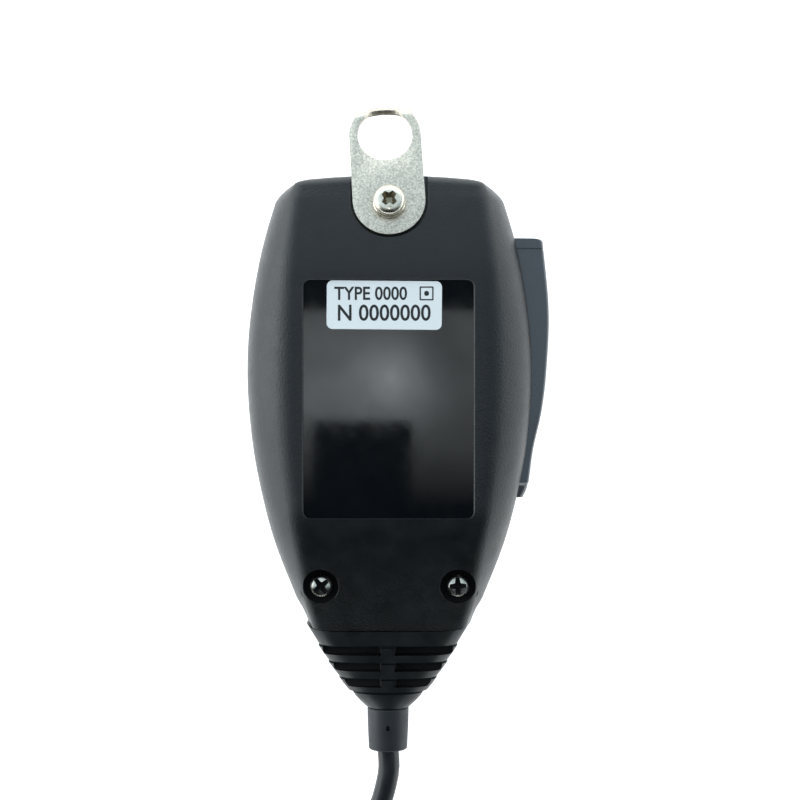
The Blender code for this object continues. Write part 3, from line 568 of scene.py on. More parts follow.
def bump(tree, height, depth_mm):
    """A surface raised by a height map."""
    node = add_node(tree, "Bump", {"Height": height, "Strength": 1.0, "Distance": depth_mm * MM})
    return node.outputs["Normal"]


def grained(name, dark, light, roughness, grain, depth_mm, spread=0.08, coat=0.0):
    """Moulded plastic or rubber: an even grain, with slow changes of colour and gloss."""
    material, tree, shader = new_surface(name, roughness)
    slow = ramp(tree, noise(tree, PATCH_SCALE, 2.0), 0.35, 0.65)
    quick = noise(tree, PATCH_SCALE * 4, 4.0)
    set_inputs(tree, shader, {
        "Base Color": blend_colour(tree, slow, dark, light),
        "Roughness": ramp(tree, quick, 0.3, 0.7, roughness - spread, roughness + spread),
        "Normal": bump(tree, noise(tree, grain, 3.0, 0.7), depth_mm), "Coat Weight": coat})
    return material


def metal(name, colour, dull, roughness, grain, depth_mm, spread=0.1):
    """Plated metal with small scuffs and a mottled finish."""
    material, tree, shader = new_surface(name, roughness, 1.0)
    mottle = noise(tree, grain, 5.0, 0.65)
    scuffs = noise(tree, grain * 0.6, 3.0, 0.6)
    set_inputs(tree, shader, {
        "Base Color": blend_colour(tree, ramp(tree, mottle, 0.38, 0.62), colour, dull),
        "Roughness": ramp(tree, scuffs, 0.3, 0.7, roughness - spread, roughness + spread),
        "Normal": bump(tree, mottle, depth_mm)})
    return material


def plain(name, colour, roughness, metallic=0.0, grain=900, depth_mm=0.01):
    """A simple surface with a faint grain, for parts inside the case."""
    material, tree, shader = new_surface(name, roughness, metallic)
    deeper = tuple(channel * 0.8 for channel in colour)
    set_inputs(tree, shader, {
        "Base Color": blend_colour(tree, noise(tree, grain * 0.3), deeper, colour),
        "Normal": bump(tree, noise(tree, grain), depth_mm)})
    return material


def make_surfaces():
    """Every material, by a short name."""
    return {
        "case": grained("case_plastic", (0.0026, 0.0030, 0.0040), (0.0038, 0.0044, 0.0056), 0.34,
                        2100, 0.11, 0.05),
        "gloss": grained("gloss_panel", (0.0018, 0.0024, 0.0034), (0.0024, 0.0030, 0.0042), 0.06,
                         420, 0.0012, 0.02),
        "lever": grained("lever_plastic", (0.041, 0.043, 0.053), (0.047, 0.049, 0.060), 0.3,
                         900, 0.004, coat=1.0),
        "boot": grained("boot_rubber", (0.0030, 0.0036, 0.0045), (0.0048, 0.0055, 0.0066), 0.42,
                        1500, 0.02),
        "sleeve": grained("sleeve_rubber", (0.011, 0.012, 0.015), (0.017, 0.018, 0.022), 0.52,
                          1200, 0.015),
        "cord": grained("cord_jacket", (0.008, 0.008, 0.010), (0.012, 0.012, 0.014), 0.42,
                        900, 0.012),
        # painted shade, less dark, for the hanger screw's cross recess
        "recess_shade": plain("recess_painted_shade", (0.35, 0.31, 0.22), 0.4, metallic=0.9),
        # painted shade, near black, for deep wells, slots and screw recesses
        "shade": plain("deep_shade", (0.0015, 0.0015, 0.002), 0.95),
        "strap": metal("nickelled_strap", (0.86, 0.78, 0.66), (0.50, 0.45, 0.375), 0.38, 2100,
                       0.04),
        "steel": metal("bright_steel", (0.86, 0.80, 0.68), (0.68, 0.62, 0.52), 0.26, 900, 0.008),
        "black_steel": metal("black_steel", (0.78, 0.74, 0.66), (0.42, 0.40, 0.35), 0.24, 900,
                             0.01),
        "brass": metal("insert_brass", (0.80, 0.60, 0.26), (0.6, 0.43, 0.17), 0.3, 900, 0.01),
        "chrome": metal("plug_chrome", (0.80, 0.80, 0.80), (0.68, 0.68, 0.68), 0.2, 500, 0.006,
                        spread=0.06),
        "label": grained("label_film", (0.96, 0.96, 0.95), (0.99, 0.99, 0.98), 0.42, 700,
                         0.004),
        "ink": plain("label_ink", (0.012, 0.012, 0.012), 0.5),
        "key": grained("key_plastic", (0.34, 0.35, 0.36), (0.38, 0.39, 0.40), 0.45, 1500,
                       0.01),
        "dark_key": grained("step_key_plastic", (0.10, 0.105, 0.115), (0.13, 0.135, 0.145),
                            0.45, 1500, 0.01),
        "pale_ink": plain("pale_ink", (0.8, 0.8, 0.8), 0.5),
        "insert": grained("insert_resin", (0.02, 0.02, 0.02), (0.03, 0.03, 0.03), 0.5, 1500,
                          0.01),
        "pin": metal("gilt_contact", (0.85, 0.66, 0.3), (0.7, 0.52, 0.22), 0.25, 900, 0.004),
        "mat": grained("mat_silicone", (0.5, 0.5, 0.5), (0.6, 0.6, 0.6), 0.7, 900, 0.01),
        "board": plain("board_laminate", (0.02, 0.16, 0.06), 0.35),
        "chip": plain("chip_resin", (0.02, 0.02, 0.02), 0.5),
        "capacitor": plain("capacitor_sleeve", (0.04, 0.05, 0.10), 0.35),
        "socket": plain("socket_nylon", (0.75, 0.72, 0.62), 0.5),
        "led": plain("led_lens", (0.45, 0.03, 0.02), 0.15),
        "capsule": plain("capsule_aluminium", (0.75, 0.75, 0.77), 0.3, 1.0),
        "cloth": plain("dust_cloth", (0.02, 0.02, 0.02), 0.9, grain=3000, depth_mm=0.1),
        "plunger": plain("plunger_nylon", (0.6, 0.08, 0.06), 0.4),
    }


SURFACES = make_surfaces()


# ---- the case

def case_stations(inset, straight, corner):
    """Places along Y where the case is drawn, closer together round its top corners."""
    low = CASE_BOTTOM + inset
    high = CASE_TOP - CORNER_LENGTH
    reach = CORNER_LENGTH - inset
    places = [low + (high - low) * i / straight for i in range(straight + 1)]
    return places + [high + reach * math.sin(math.pi / 2 * (i + 1) / corner)
                     for i in range(corner)]


def case_half_width(y, inset=0.0):
    """Half the case's width where the shells meet."""
    half = smooth(CASE_HALF_WIDTH, y) - inset
    over = (y - (CASE_TOP - CORNER_LENGTH)) / (CORNER_LENGTH - inset)
    if over > 0:
        half -= (CORNER_WIDTH - inset) * (1 - math.sqrt(max(0.0, 1 - over**2)))
    return half


def end_round(y, inset):
    """How far the faces fall away at the rounded top end of the case."""
    over = (y - (CASE_TOP - EDGE_ROUND)) / EDGE_ROUND
    if over <= 0 or inset:
        return 0.0
    return EDGE_ROUND * (1 - math.sqrt(max(0.0, 1 - over**2)))


def corner_share(x):
    """How much of the lower corners' lift a point has: all of it at the corners."""
    return (abs(x) / BOOT_STEPS[0][1])**12


def end_shift(y, x, z):
    """How far a point near an end of the case is moved along Y: both ends bow in plan."""
    top = (y - (CASE_TOP - CORNER_LENGTH)) / CORNER_LENGTH
    if top > 0:
        return -top * (0.0027 * x * x + 0.055 * abs(z - PARTING))
    bottom = 1 - (y - CASE_BOTTOM) / CORNER_LENGTH
    return bottom * END_LIFT * corner_share(x) if bottom > 0 else 0.0


def mirrored(side):
    """A ring from its points at +X, listed from one end of the ring to the other."""
    return side + [(-x, y, z) for x, y, z in reversed(side)]


def rear_ring(y, inset, rim):
    """Section of the rear shell: an upright rim, a rounded shoulder and a flat back."""
    half = case_half_width(y, inset)
    crease = min(smooth(CREASE_HALF_WIDTH, y), half + inset - 1.0) - 0.6 * inset
    top = smooth(BACK_HEIGHT, y) - inset - end_round(y, inset)
    foot = PARTING + 1.5
    steps = 5 if inset else 14
    edge = (crease + 0.2 * (half - crease), top - 0.2 * SHOULDER_DROP)
    side = [(half, rim), (half, foot)]
    side += bow((half, foot), (half, top - SHOULDER_DROP), edge, steps) + [edge]
    flat = crease - 2.2
    side += bow(edge, (crease - 0.2, top), (flat, top), 2 if inset else 7)
    side += [(flat * share, top) for share in ((1.0,) if inset else (1.0, 0.75, 0.5, 0.25, 0.08))]
    return mirrored([(x, y + end_shift(y, x, z), z) for x, z in side])


def front_ring(y, inset, rim):
    """Section of the front shell: a slightly leaning side and a rounded edge to a flat front."""
    half = case_half_width(y, inset)
    low = max(0.0, smooth(FRONT_HEIGHT, y)) + inset + end_round(y, inset)
    side = (half - 0.6, max(7.0, low + 3.0))
    flat = half + inset * 0.4 - FRONT_ROUND
    edge = bow(side, (half - 1.2, low + 0.3), (flat, low), 4 if inset else 10)
    points = [(half, rim), (half, PARTING - 3.0), side] + edge
    points += [(flat * share, low) for share in ((1.0,) if inset else (1.0, 0.6, 0.2))]
    return mirrored([(x, y + end_shift(y, x, z), z) for x, z in points])


def shell(name, ring, rim, overshoot):
    """One half of the case: the outer form less the same form drawn a wall's thickness in."""
    outside = case_stations(0.0, 56, 12)
    inside = case_stations(WALL, 14, 4)
    cover = form(name, loft([ring(y, 0.0, rim) for y in outside]))
    cut(cover, [loft([ring(y, WALL, rim + overshoot) for y in inside])])
    return cover


def lever_slot(low, high):
    """The opening in the right-hand wall that the lever moves in."""
    inner, outer = SLOT_DEPTH
    return block((outer - inner, LEVER_TOP - LEVER_FOOT + 2 * LEVER_PLAY), low, high,
                 ((inner + outer) / 2, (LEVER_TOP + LEVER_FOOT) / 2))


def cut_neck(cover):
    """The round opening for the boot, through the lower wall."""
    cut(cover, [rod(NECK_RADIUS + GAP, -6, 6)], (CORD_X, CASE_BOTTOM, CORD_HEIGHT), ALONG_CORD)


def rear_case():
    """Rear shell, with chamfered edges round its recesses, a gloss floor in the panel and painted
    shade in its screw wells.
    """
    cover = shell("rear_case", rear_ring, PARTING + GAP / 2, -2.0)
    pivot, tilt = HANGER_PIVOT, (HANGER_TILT, 0, 0)
    add(cover, [slab(stadium(RECESS_HALF_WIDTH + WALL, CASE_TOP - pivot[1] - 2.6), -WALL, 1.0),
                rod(INSERT_RADIUS + 2.2, -INSERT_LENGTH - 1.5, -0.5)], pivot, tilt)
    low, chamfer = RECESS_HALF_WIDTH, 0.45
    recess = tiers([(stadium(low, 20), 0.0), (stadium(low, 20), 1.25),
                    (stadium(low + chamfer, 20), 1.25 + chamfer),
                    (stadium(low + chamfer, 20), 9.0)])
    cut(cover, [recess, rod(INSERT_RADIUS + GAP, -INSERT_LENGTH - 3.0, 1.0)], pivot, tilt)
    wide = (PANEL_SIZE[0] + 0.5, PANEL_SIZE[1] + 0.5)
    floor = rounded(PANEL_SIZE, PANEL_CORNER, centre=PANEL_CENTRE)
    mouth = rounded(wide, PANEL_CORNER + 0.25, centre=PANEL_CENTRE)
    cut(cover, [tiers([(floor, PANEL_FLOOR), (floor, 30.78), (mouth, 31.03), (mouth, 34.0)])])
    for side in (-1, 1):
        place = (side * CASE_SCREW_X, CASE_SCREW_Y)
        add(cover, [rod(CASE_BOSS_RADIUS, BOSS_SPLIT, WELL_FLOOR + 1.0, place),
                    rod(WELL_RADIUS + 1.1, WELL_FLOOR - WALL, WELL_FLOOR + 1.0, place)])
        cut(cover, [rod(WELL_RADIUS + 0.25, WELL_FLOOR, 34, place, 48)])
        surface = smooth(BACK_HEIGHT, CASE_SCREW_Y)
        mouth = turned([(0, 4), (WELL_RADIUS + 0.45, 4), (WELL_RADIUS + 0.45, 0.05),
                        (WELL_RADIUS + 0.2, -0.3), (0, -0.3)])
        cut(cover, [mouth], (*place, surface), (BACK_SLOPE, 0, 0))
        cut(cover, [rod(1.5 + GAP, BOSS_SPLIT - 2, WELL_FLOOR + 2, place)])
    x, y, _ = LEVER_PIVOT
    add(cover, [rod(TRUNNION_BOSS_RADIUS, LEVER_HIGH + GAP, 24.0, (x, y))])
    cut(cover, [rod(TRUNNION_RADIUS + GAP, LEVER_HIGH, LEVER_HIGH + TRUNNION_REACH + GAP,
                    (x, y))])
    cut(cover, [lever_slot(PARTING - 2, LEVER_HIGH + GAP)])
    cut_neck(cover)
    gloss = [face.index for face in cover.data.polygons
             if abs(face.center.z - PANEL_FLOOR) < 0.05 and face.normal.z > 0.9999]
    # the screw wells' floors and walls take the near-black third material: painted shade
    wells = [face.index for face in cover.data.polygons
             if math.hypot(abs(face.center.x) - CASE_SCREW_X, face.center.y - CASE_SCREW_Y)
             < WELL_RADIUS + 0.27 and WELL_FLOOR - 0.1 < face.center.z < WELL_FLOOR + 2.5]
    finish_piece(cover, ["case", "gloss", "shade"], "rear_cover", sharp=CASE_SHARP)
    give_faces(cover, gloss, 1)
    give_faces(cover, wells, 2)


def grille_slots():
    """Rows of round-ended slots that together fill a circle, each with a chamfered mouth."""
    slots = []
    for row in range(GRILLE_SLOTS):
        offset = (row - (GRILLE_SLOTS - 1) / 2) * GRILLE_PITCH
        half = math.sqrt(GRILLE_RADIUS**2 - offset**2)
        centre = (0, GRILLE_CENTRE + offset)
        inner = rounded((2 * half, SLOT_HEIGHT), SLOT_HEIGHT / 2 - 0.01, 6, centre)
        outer = rounded((2 * half + 0.8, SLOT_HEIGHT + 0.8), SLOT_HEIGHT / 2 + 0.39, 6, centre)
        slots.append(tiers([(outer, -2), (outer, -0.01), (inner, 0.4), (inner, WALL + 2)]))
    return slots


def key_places():
    """Each key's node name, printed mark, size and centre."""
    places = []
    for index, word in enumerate(KEY_NAMES):
        row, column = divmod(index, len(KEY_COLUMNS))
        places.append(("key_" + word, KEY_SIGNS.get(word, word.upper()), KEY_SIZE,
                       (KEY_COLUMNS[column], KEY_ROWS[row])))
    places.append(("up_key", "UP", STEP_KEY_SIZE, (-STEP_KEY_X, STEP_KEY_Y)))
    places.append(("down_key", "DWN", STEP_KEY_SIZE, (STEP_KEY_X, STEP_KEY_Y)))
    return places


def front_case():
    """Front shell, with its keypad field, key openings, grille and bosses."""
    cover = shell("front_case", front_ring, PARTING - GAP / 2, 2.0)
    cut_neck(cover)
    back = (FIELD_SIZE[0] + 2 * WALL, FIELD_SIZE[1] + 2 * WALL)
    add(cover, [block(back, WALL - 1, FIELD_BACK, FIELD_CENTRE)])
    floor = rounded(FIELD_SIZE, 2.0, centre=FIELD_CENTRE)
    mouth = rounded((FIELD_SIZE[0] + 0.8, FIELD_SIZE[1] + 0.8), 2.4, centre=FIELD_CENTRE)
    cut(cover, [tiers([(mouth, -2), (mouth, -0.01), (floor, 0.4), (floor, FIELD_FLOOR)])])
    for _, _, size, place in key_places():
        opening = rounded((size[0] + 2 * GAP, size[1] + 2 * GAP), 1.0, 3, place)
        cut(cover, [slab(opening, 0, FIELD_BACK + 1)])
    cut(cover, grille_slots())
    cut(cover, [rod(1.6, -2, 5, (0, 17.0))])
    for place in BOARD_SCREWS:
        add(cover, [rod(2.4, WALL - 1, BOARD_LOW - GAP, place, 16)])
        cut(cover, [rod(1.0 + GAP, WALL, BOARD_LOW + 1, place, 16)])
    for side in (-1, 1):
        place = (side * CASE_SCREW_X, CASE_SCREW_Y)
        add(cover, [rod(CASE_BOSS_RADIUS, WALL, BOSS_SPLIT - GAP, place, 16)])
        cut(cover, [rod(1.5 + GAP, 4.0, BOSS_SPLIT + 1, place, 16)])
        place = (side * CLAMP_BOSS_X, CLAMP_BOSS_Y)
        add(cover, [rod(2.3, WALL, 14.8, place, 16)])
        cut(cover, [rod(1.0 + GAP, 5.0, 16.0, place, 16)])
    add(cover, [block((6.0, 5.0), WALL, CORD_HEIGHT - CORD_RADIUS - GAP, (0, CLAMP_BOSS_Y))])
    x, y, _ = LEVER_PIVOT
    add(cover, [rod(TRUNNION_BOSS_RADIUS, 2.9, LEVER_LOW - GAP, (x, y))])
    cut(cover, [rod(TRUNNION_RADIUS + GAP, LEVER_LOW - TRUNNION_REACH - GAP, LEVER_LOW, (x, y))])
    cut(cover, [lever_slot(LEVER_LOW - GAP, PARTING + 2)])
    finish_piece(cover, ["case"], "front_cover", sharp=CASE_SHARP)


# ---- label, hanger and screws

def lettering(name, words, size, centre, low, stretch=1.0, bold=0.03, face_down=False):
    """Print of a slight thickness, as a mesh in the drawing frame."""
    line = bpy.data.curves.new(name, 'FONT')
    line.body = words
    line.size = size
    line.align_x = 'CENTER'
    line.align_y = 'CENTER'
    line.extrude = INK_THICK / 2
    line.offset = bold
    line.resolution_u = 4
    text = new_object(name, line)
    mesh = evaluated_mesh(text)
    bpy.data.objects.remove(text, do_unlink=True)
    mesh.transform(Matrix.Diagonal((stretch, 1.0, 1.0, 1.0)))
    if face_down:
        mesh.transform(Matrix.Rotation(math.pi, 4, 'Y'))
    mesh.transform(Matrix.Translation((*centre, low + INK_THICK / 2)))
    return new_object(name, mesh)


def label():
    """The stuck-on label with two lines of plain print."""
    x, y = LABEL_CENTRE
    film = form("label_film", slab(rounded(LABEL_SIZE, LABEL_CORNER, 8), LABEL_LOW,
                                   LABEL_LOW + LABEL_THICK), (x, y, 0), (0, 0, LABEL_TURN))
    finish_piece(film, ["label"], "label")
    top = LABEL_LOW + LABEL_THICK
    lines = [("label_top_line", "TYPE 0000", 4.1, 0.88, (-3.0, 2.45)),
             ("label_bottom_line", "N 0000000", 5.0, 0.92, (-0.1, -1.9))]
    for name, words, size, stretch, (dx, dy) in lines:
        marks = lettering(name, words, size, (x + dx, y + dy), top, stretch, 0.07)
        finish_piece(marks, ["ink"])
    spot = (x + 9.4, y + 2.6, 0)
    square = form("label_box", slab(rounded((3.1, 3.1), 0.2, 2), top, top + INK_THICK), spot)
    cut(square, [slab(rounded((2.5, 2.5), 0.1, 2), top - 1, top + 1)], spot)
    add(square, [slab(rounded((1.1, 1.1), 0.5, 6), top, top + INK_THICK)], spot)
    finish_piece(square, ["ink"])


def hanger_plate():
    """A strap with a round foot, a slight knee, an eye, and a lip bent down past the eye."""
    outline = []
    for start, y in ((math.pi, FOOT_CENTRE), (0.0, EYE_DISTANCE)):
        for i in range(41):
            angle = start + math.pi * i / 40
            outline.append((HANGER_HALF_WIDTH * math.cos(angle),
                            y + HANGER_HALF_WIDTH * math.sin(angle)))
    plate = form("hanger_strap", slab(outline, GAP, GAP + HANGER_THICK), HANGER_PIVOT)
    cut(plate, [rod(EYE_RADIUS, -1, 4, (0, EYE_DISTANCE), 72), rod(2.0 + GAP, -1, 4)],
        HANGER_PIVOT)
    shape = bmesh.new()
    shape.from_mesh(plate.data)
    arc = math.radians(LIP_BEND_DEG) * LIP_BEND_RADIUS
    for y in [HANGER_KNEE] + [LIP_START + arc * step / 8 for step in range(9)]:
        bmesh.ops.bisect_plane(shape, geom=shape.verts[:] + shape.edges[:] + shape.faces[:],
                               plane_co=(0, y, 0), plane_no=(0, 1, 0))
    for vert in shape.verts:
        past = vert.co.y - LIP_START
        if past <= 0:
            continue
        angle = min(past, arc) / LIP_BEND_RADIUS
        radius = LIP_BEND_RADIUS + vert.co.z - GAP
        beyond = max(0.0, past - arc)
        vert.co.y = LIP_START + radius * math.sin(angle) + beyond * math.cos(angle)
        vert.co.z = GAP - LIP_BEND_RADIUS + radius * math.cos(angle) - beyond * math.sin(angle)
    outer = [vert for vert in shape.verts if vert.co.y > HANGER_KNEE + MERGE]
    bmesh.ops.rotate(shape, verts=outer, cent=(0, HANGER_KNEE, GAP),
                     matrix=Matrix.Rotation(math.radians(-HANGER_KNEE_DEG), 3, 'X'))
    shape.to_mesh(plate.data)
    shape.free()
    bevel(plate, STRAP_EDGE, 50)
    plate.rotation_euler = [math.radians(HANGER_TILT), 0, math.radians(HANGER_TURN)]
    finish_piece(plate, ["strap"], "hanger_plate", sharp=40)


def pan_screw(node, surfaces, size, reach, origin, turn):
    """A pan-head screw with a cross recess. The underside of its head is at the origin."""
    radius, height, shank_radius, length = size
    profile = [(0, height)]
    for i in range(1, 13):
        angle = math.pi / 2 * i / 12
        profile.append((radius * math.sin(angle)**0.75,
                        height * (0.3 + 0.7 * math.cos(angle)**0.9)))
    profile += [(radius, 0.1), (radius - 0.1, 0), (shank_radius, 0), (shank_radius, -length + 0.5),
                (shank_radius - 0.5, -length), (0, -length)]
    screw = form(node + "_pan", turned(profile, 56), origin, turn)
    wide, narrow = cross(radius * reach, radius * 0.16), cross(radius * 0.24, radius * 0.08)
    cut(screw, [tiers([(narrow, height * 0.2), (wide, height * 0.85), (wide, height + 1)])],
        origin, turn)
    # the faces inside the cross recess take the second material: painted shade
    hollow = [face.index for face in screw.data.polygons
              if math.hypot(face.center.x, face.center.y) < radius * 0.8
              and 0.1 < face.center.z < height * 0.8]
    finish_piece(screw, surfaces, node, sharp=30)
    give_faces(screw, hollow, 1)


def hanger_fixing():
    """The split washer and the screw that hold the plate."""
    low = 2 * GAP + HANGER_THICK
    high = low + WASHER_THICK
    bore, rim = WASHER_RADII
    edge = BROKEN_EDGE
    section = [(rim, high - edge), (rim, low + edge), (rim - edge, low), (bore + edge, low),
               (bore, low + edge), (bore, high - edge), (bore + edge, high), (rim - edge, high)]
    washer = form("split_washer", turned(section, 64, ring=True), HANGER_PIVOT,
                  (HANGER_TILT, 0, 0))
    cut(washer, [block((3.0, WASHER_SPLIT), low - 1, low + 2, (3.4, 0))], HANGER_PIVOT,
        (HANGER_TILT, 0, 35))
    finish_piece(washer, ["steel"], "hanger_washer")
    under_head = 3 * GAP + HANGER_THICK + WASHER_THICK
    tilt = math.radians(HANGER_TILT)
    x, y, z = HANGER_PIVOT
    head = (x, y - under_head * math.sin(tilt), z + under_head * math.cos(tilt))
    # its cross recess takes a lighter painted shade
    pan_screw("hanger_screw", ["steel", "recess_shade"], HANGER_SCREW, 0.52, head,
              (HANGER_TILT, 0, 48))


def case_screws():
    """The two screws that hold the shells together."""
    for side, word in ((-1, "left"), (1, "right")):
        # their cross recesses take near-black painted shade
        pan_screw("case_screw_" + word, ["black_steel", "shade"], CASE_SCREW, 0.7,
                  (side * CASE_SCREW_X, CASE_SCREW_Y, WELL_FLOOR + GAP), (0, 0, 20 - side * 18))


# ---- lever and keys

def lever_ring(y):
    """Section of the lever: rounded at its outer corners, its upper face leaning outwards."""
    outer = smooth(LEVER_OUTER, y)
    top = LEVER_HIGH
    end = (y - (LEVER_TOP - 0.9)) / 0.9
    if end > 0:
        outer -= 1.2 * (1 - math.sqrt(max(0.0, 1 - min(1.0, end)**2)))
    if LEVER_TOP - 2.7 < y < LEVER_TOP - 2.3:
        top -= 0.35
    elif y >= LEVER_TOP - 2.3:
        top -= 0.12
    foot = (LEVER_FOOT + 3.4) - y
    if foot > 0:
        top -= 0.15 + 0.55 * foot
        outer -= 0.1
    low = LEVER_LOW
    points = [(LEVER_INNER, low), (outer - 1.4, low)]
    points += bow((outer - 1.4, low), (outer, low), (outer, low + 1.4), 4) + [(outer, low + 1.4)]
    edge = top - 0.13 * (outer - LEVER_INNER)
    points += [(outer, edge - 1.0)]
    points += bow((outer, edge - 1.0), (outer, edge), (outer - 1.1, edge + 0.14), 5)
    points += [(outer - 1.1, edge + 0.14), (LEVER_INNER + 1.2, top - 0.16), (LEVER_INNER, top)]
    return [(x, y, z) for x, z in points]


def lever():
    """The push-to-talk lever: a bowed bar, with a lobe and trunnions at its pivot."""
    px, py, _ = LEVER_PIVOT
    stations = [LEVER_FOOT, LEVER_FOOT + 0.3]
    stations += [LEVER_FOOT + 3.35 - 0.9 * i for i in (3, 2, 1, 0)] + [LEVER_FOOT + 3.45]
    stations += [LEVER_FOOT + 4.0 + 1.7 * i for i in range(31)]
    stations += [LEVER_TOP - d for d in (2.75, 2.65, 2.35, 2.25, 1.5, 0.9, 0.6, 0.35, 0.15, 0.0)]
    bar = form("talk_lever", loft([lever_ring(y) for y in sorted(set(stations))]))
    nub = [(LEVER_INNER + 1, 2.2), (NUB_TIP, 1.2), (NUB_TIP, -1.2), (LEVER_INNER + 1, -2.2)]
    lobe = [(LEVER_INNER + 1, -13.5), (px + 0.6, py + 2.1), (px - 0.9, py + 1.9), (px - 2.1, py),
            (px - 0.9, py - 1.9), (px + 0.6, py - 2.1), (LEVER_INNER + 1, LEVER_FOOT + 1.5)]
    add(bar, [slab(nub, LEVER_LOW + 0.2, LEVER_HIGH - 1.0),
              slab(lobe, LEVER_LOW, LEVER_HIGH - 1.9)])
    add(bar, [rod(TRUNNION_RADIUS, LEVER_LOW - TRUNNION_REACH + GAP,
                  LEVER_HIGH + TRUNNION_REACH - GAP, (px, py))])
    finish_piece(bar, ["lever"], "ptt_lever", "ptt_lever")


def keys():
    """Key caps with softly crowned tops and printed marks."""
    for name, mark, size, place in key_places():
        step_key = name in ("up_key", "down_key")
        levels = [(-1.5, 0.0), (-0.7, 0.08), (-0.25, 0.28), (0.0, 0.65)]
        rings = []
        for grow, depth in levels:
            outline = rounded((size[0] + grow, size[1] + grow), max(0.4, 1.0 + grow / 2), 4)
            rings.append((outline, KEY_TOP + depth))
        rings.append((rounded(size, 1.0, 4), KEY_FLANGE))
        wide = rounded((size[0] + 1.2, size[1] + 1.2), 1.0, 4)
        rings += [(wide, KEY_FLANGE + 0.02), (wide, KEY_BACK)]
        cap = form(name + "_cap", tiers(rings), (*place, 0))
        marks = lettering(name + "_mark", mark, 2.5 if step_key else 3.6, place,
                          KEY_TOP - INK_THICK / 2, face_down=True)
        finish_piece(marks, ["pale_ink" if step_key else "ink"], body=name)
        finish_piece(cap, ["dark_key" if step_key else "key"], name, name, 50)


# ---- boot and sleeve

def boot_ring(distance, half_width, sunk, count=72):
    """A section of the boot: a soft rectangle at the case that becomes round at its end."""
    drop = min(1.0, distance / BOOT_LENGTH)
    half_height = smooth(BOOT_HALF_HEIGHT, distance) - 0.9 * sunk
    power = 2.0 / (4.4 - 2.4 * drop)
    ring = []
    for i in range(count):
        angle = math.tau * i / count
        cos, sin = math.cos(angle), math.sin(angle)
        x = math.copysign(half_width * abs(cos)**power, cos)
        y = math.copysign(half_height * abs(sin)**power, sin)
        lift = END_LIFT * max(0.0, 1 - distance / BOOT_FLANGE) * corner_share(x)
        ring.append((x, y, distance - lift))
    return ring


def cord_boot():
    """The ribbed rubber boot, slotted on its broad faces so that it bends, with painted shade on
    the slot floors.
    """
    place, turn = (CORD_X, BOOT_START, CORD_HEIGHT), ALONG_CORD
    boot = form("ribbed_boot", loft([boot_ring(*step) for step in BOOT_STEPS]), place, turn)
    neck = WALL + 2 * GAP
    add(boot, [turned([(0, 1.0), (NECK_RADIUS, 1.0), (NECK_RADIUS, -neck), (7.9, -neck),
                       (7.9, -neck - 1.8), (0, -neck - 1.8)])], place, turn)
    slots = []
    for start in BOOT_RIBS:
        half = smooth([(3.6, 14.9), (16, 6.6)], start)
        for side in (-1, 1):
            for face in (-1, 1):
                centre = (side * (BOOT_BRIDGE + half / 2), face * BOOT_SLOT_CENTRE)
                outline = rounded((half - BOOT_BRIDGE, BOOT_SLOT_CENTRE), 0.4, 3, centre)
                slots.append(slab(outline, start - 0.35, start + 1.6))
    cut(boot, slots, place, turn)
    cut(boot, [rod(CORD_RADIUS + GAP, -8, 25)], place, turn)
    # the slot floors take the near-black second material: painted shade, as deep slots would be
    # dark
    floors = [face.index for face in boot.data.polygons
              if face.center.z > 1 and 4.0 < abs(face.center.y) < 4.4 and abs(face.normal.y) > 0.9]
    finish_piece(boot, ["boot", "shade"], "cord_boot", sharp=40)
    give_faces(boot, floors, 1)


def cord_sleeve():
    """The smooth end of the strain relief, with a small moulding dimple."""
    place, turn = (CORD_X, SLEEVE_START, CORD_HEIGHT), ALONG_CORD
    length = SLEEVE_START - SLEEVE_END
    bore = CORD_RADIUS + GAP
    profile = [(4.7, 0), (4.85, 0.2), (4.72, length * 0.5), (4.5, length - 0.2),
               (4.3, length), (bore + 0.2, length), (bore, length - 0.2), (bore, 0)]
    sleeve = form("strain_sleeve", turned(profile, 64, ring=True), place, turn)
    dimple = tiers([(rounded((0.5, 0.8), 0.2, 5), -1.0), (rounded((0.9, 1.4), 0.4, 5), 0.9)])
    cut(sleeve, [dimple], (CORD_X, SLEEVE_START - 4.2, CORD_HEIGHT + 4.2))
    finish_piece(sleeve, ["sleeve"], "cord_sleeve")


# ---- cord and plug

def curl_points():
    """The helix along the curl's route. Its turns open out where the route bends."""
    route = through(CURL_ROUTE, 0.25)
    lengths = running_lengths(route)
    total = lengths[-1]
    points = []
    phase = 0.0
    for i, centre in enumerate(route):
        before = route[max(i - CURL_REACH, 0)]
        after = route[min(i + CURL_REACH, len(route) - 1)]
        ahead = (after - before).normalized()
        aside = Vector((-ahead.y, ahead.x, 0.0))
        into, out = (centre - before), (after - centre)
        bend = 0.0
        if into.length > 1 and out.length > 1:
            bend = into.angle(out) / ((into.length + out.length) / 2)
        step = lengths[i] - lengths[max(i - 1, 0)]
        phase += math.tau * step / (CURL_PITCH / max(0.4, 1 - CURL_MEAN_RADIUS * bend))
        grow = min(1.0, min(lengths[i], total - lengths[i]) / (1.4 * CURL_PITCH))
        radius = CURL_MEAN_RADIUS * grow * grow * (3 - 2 * grow)
        points.append(centre + radius * (math.cos(phase) * aside
                                         + math.sin(phase) * Vector((0, 0, 1))))
    return points


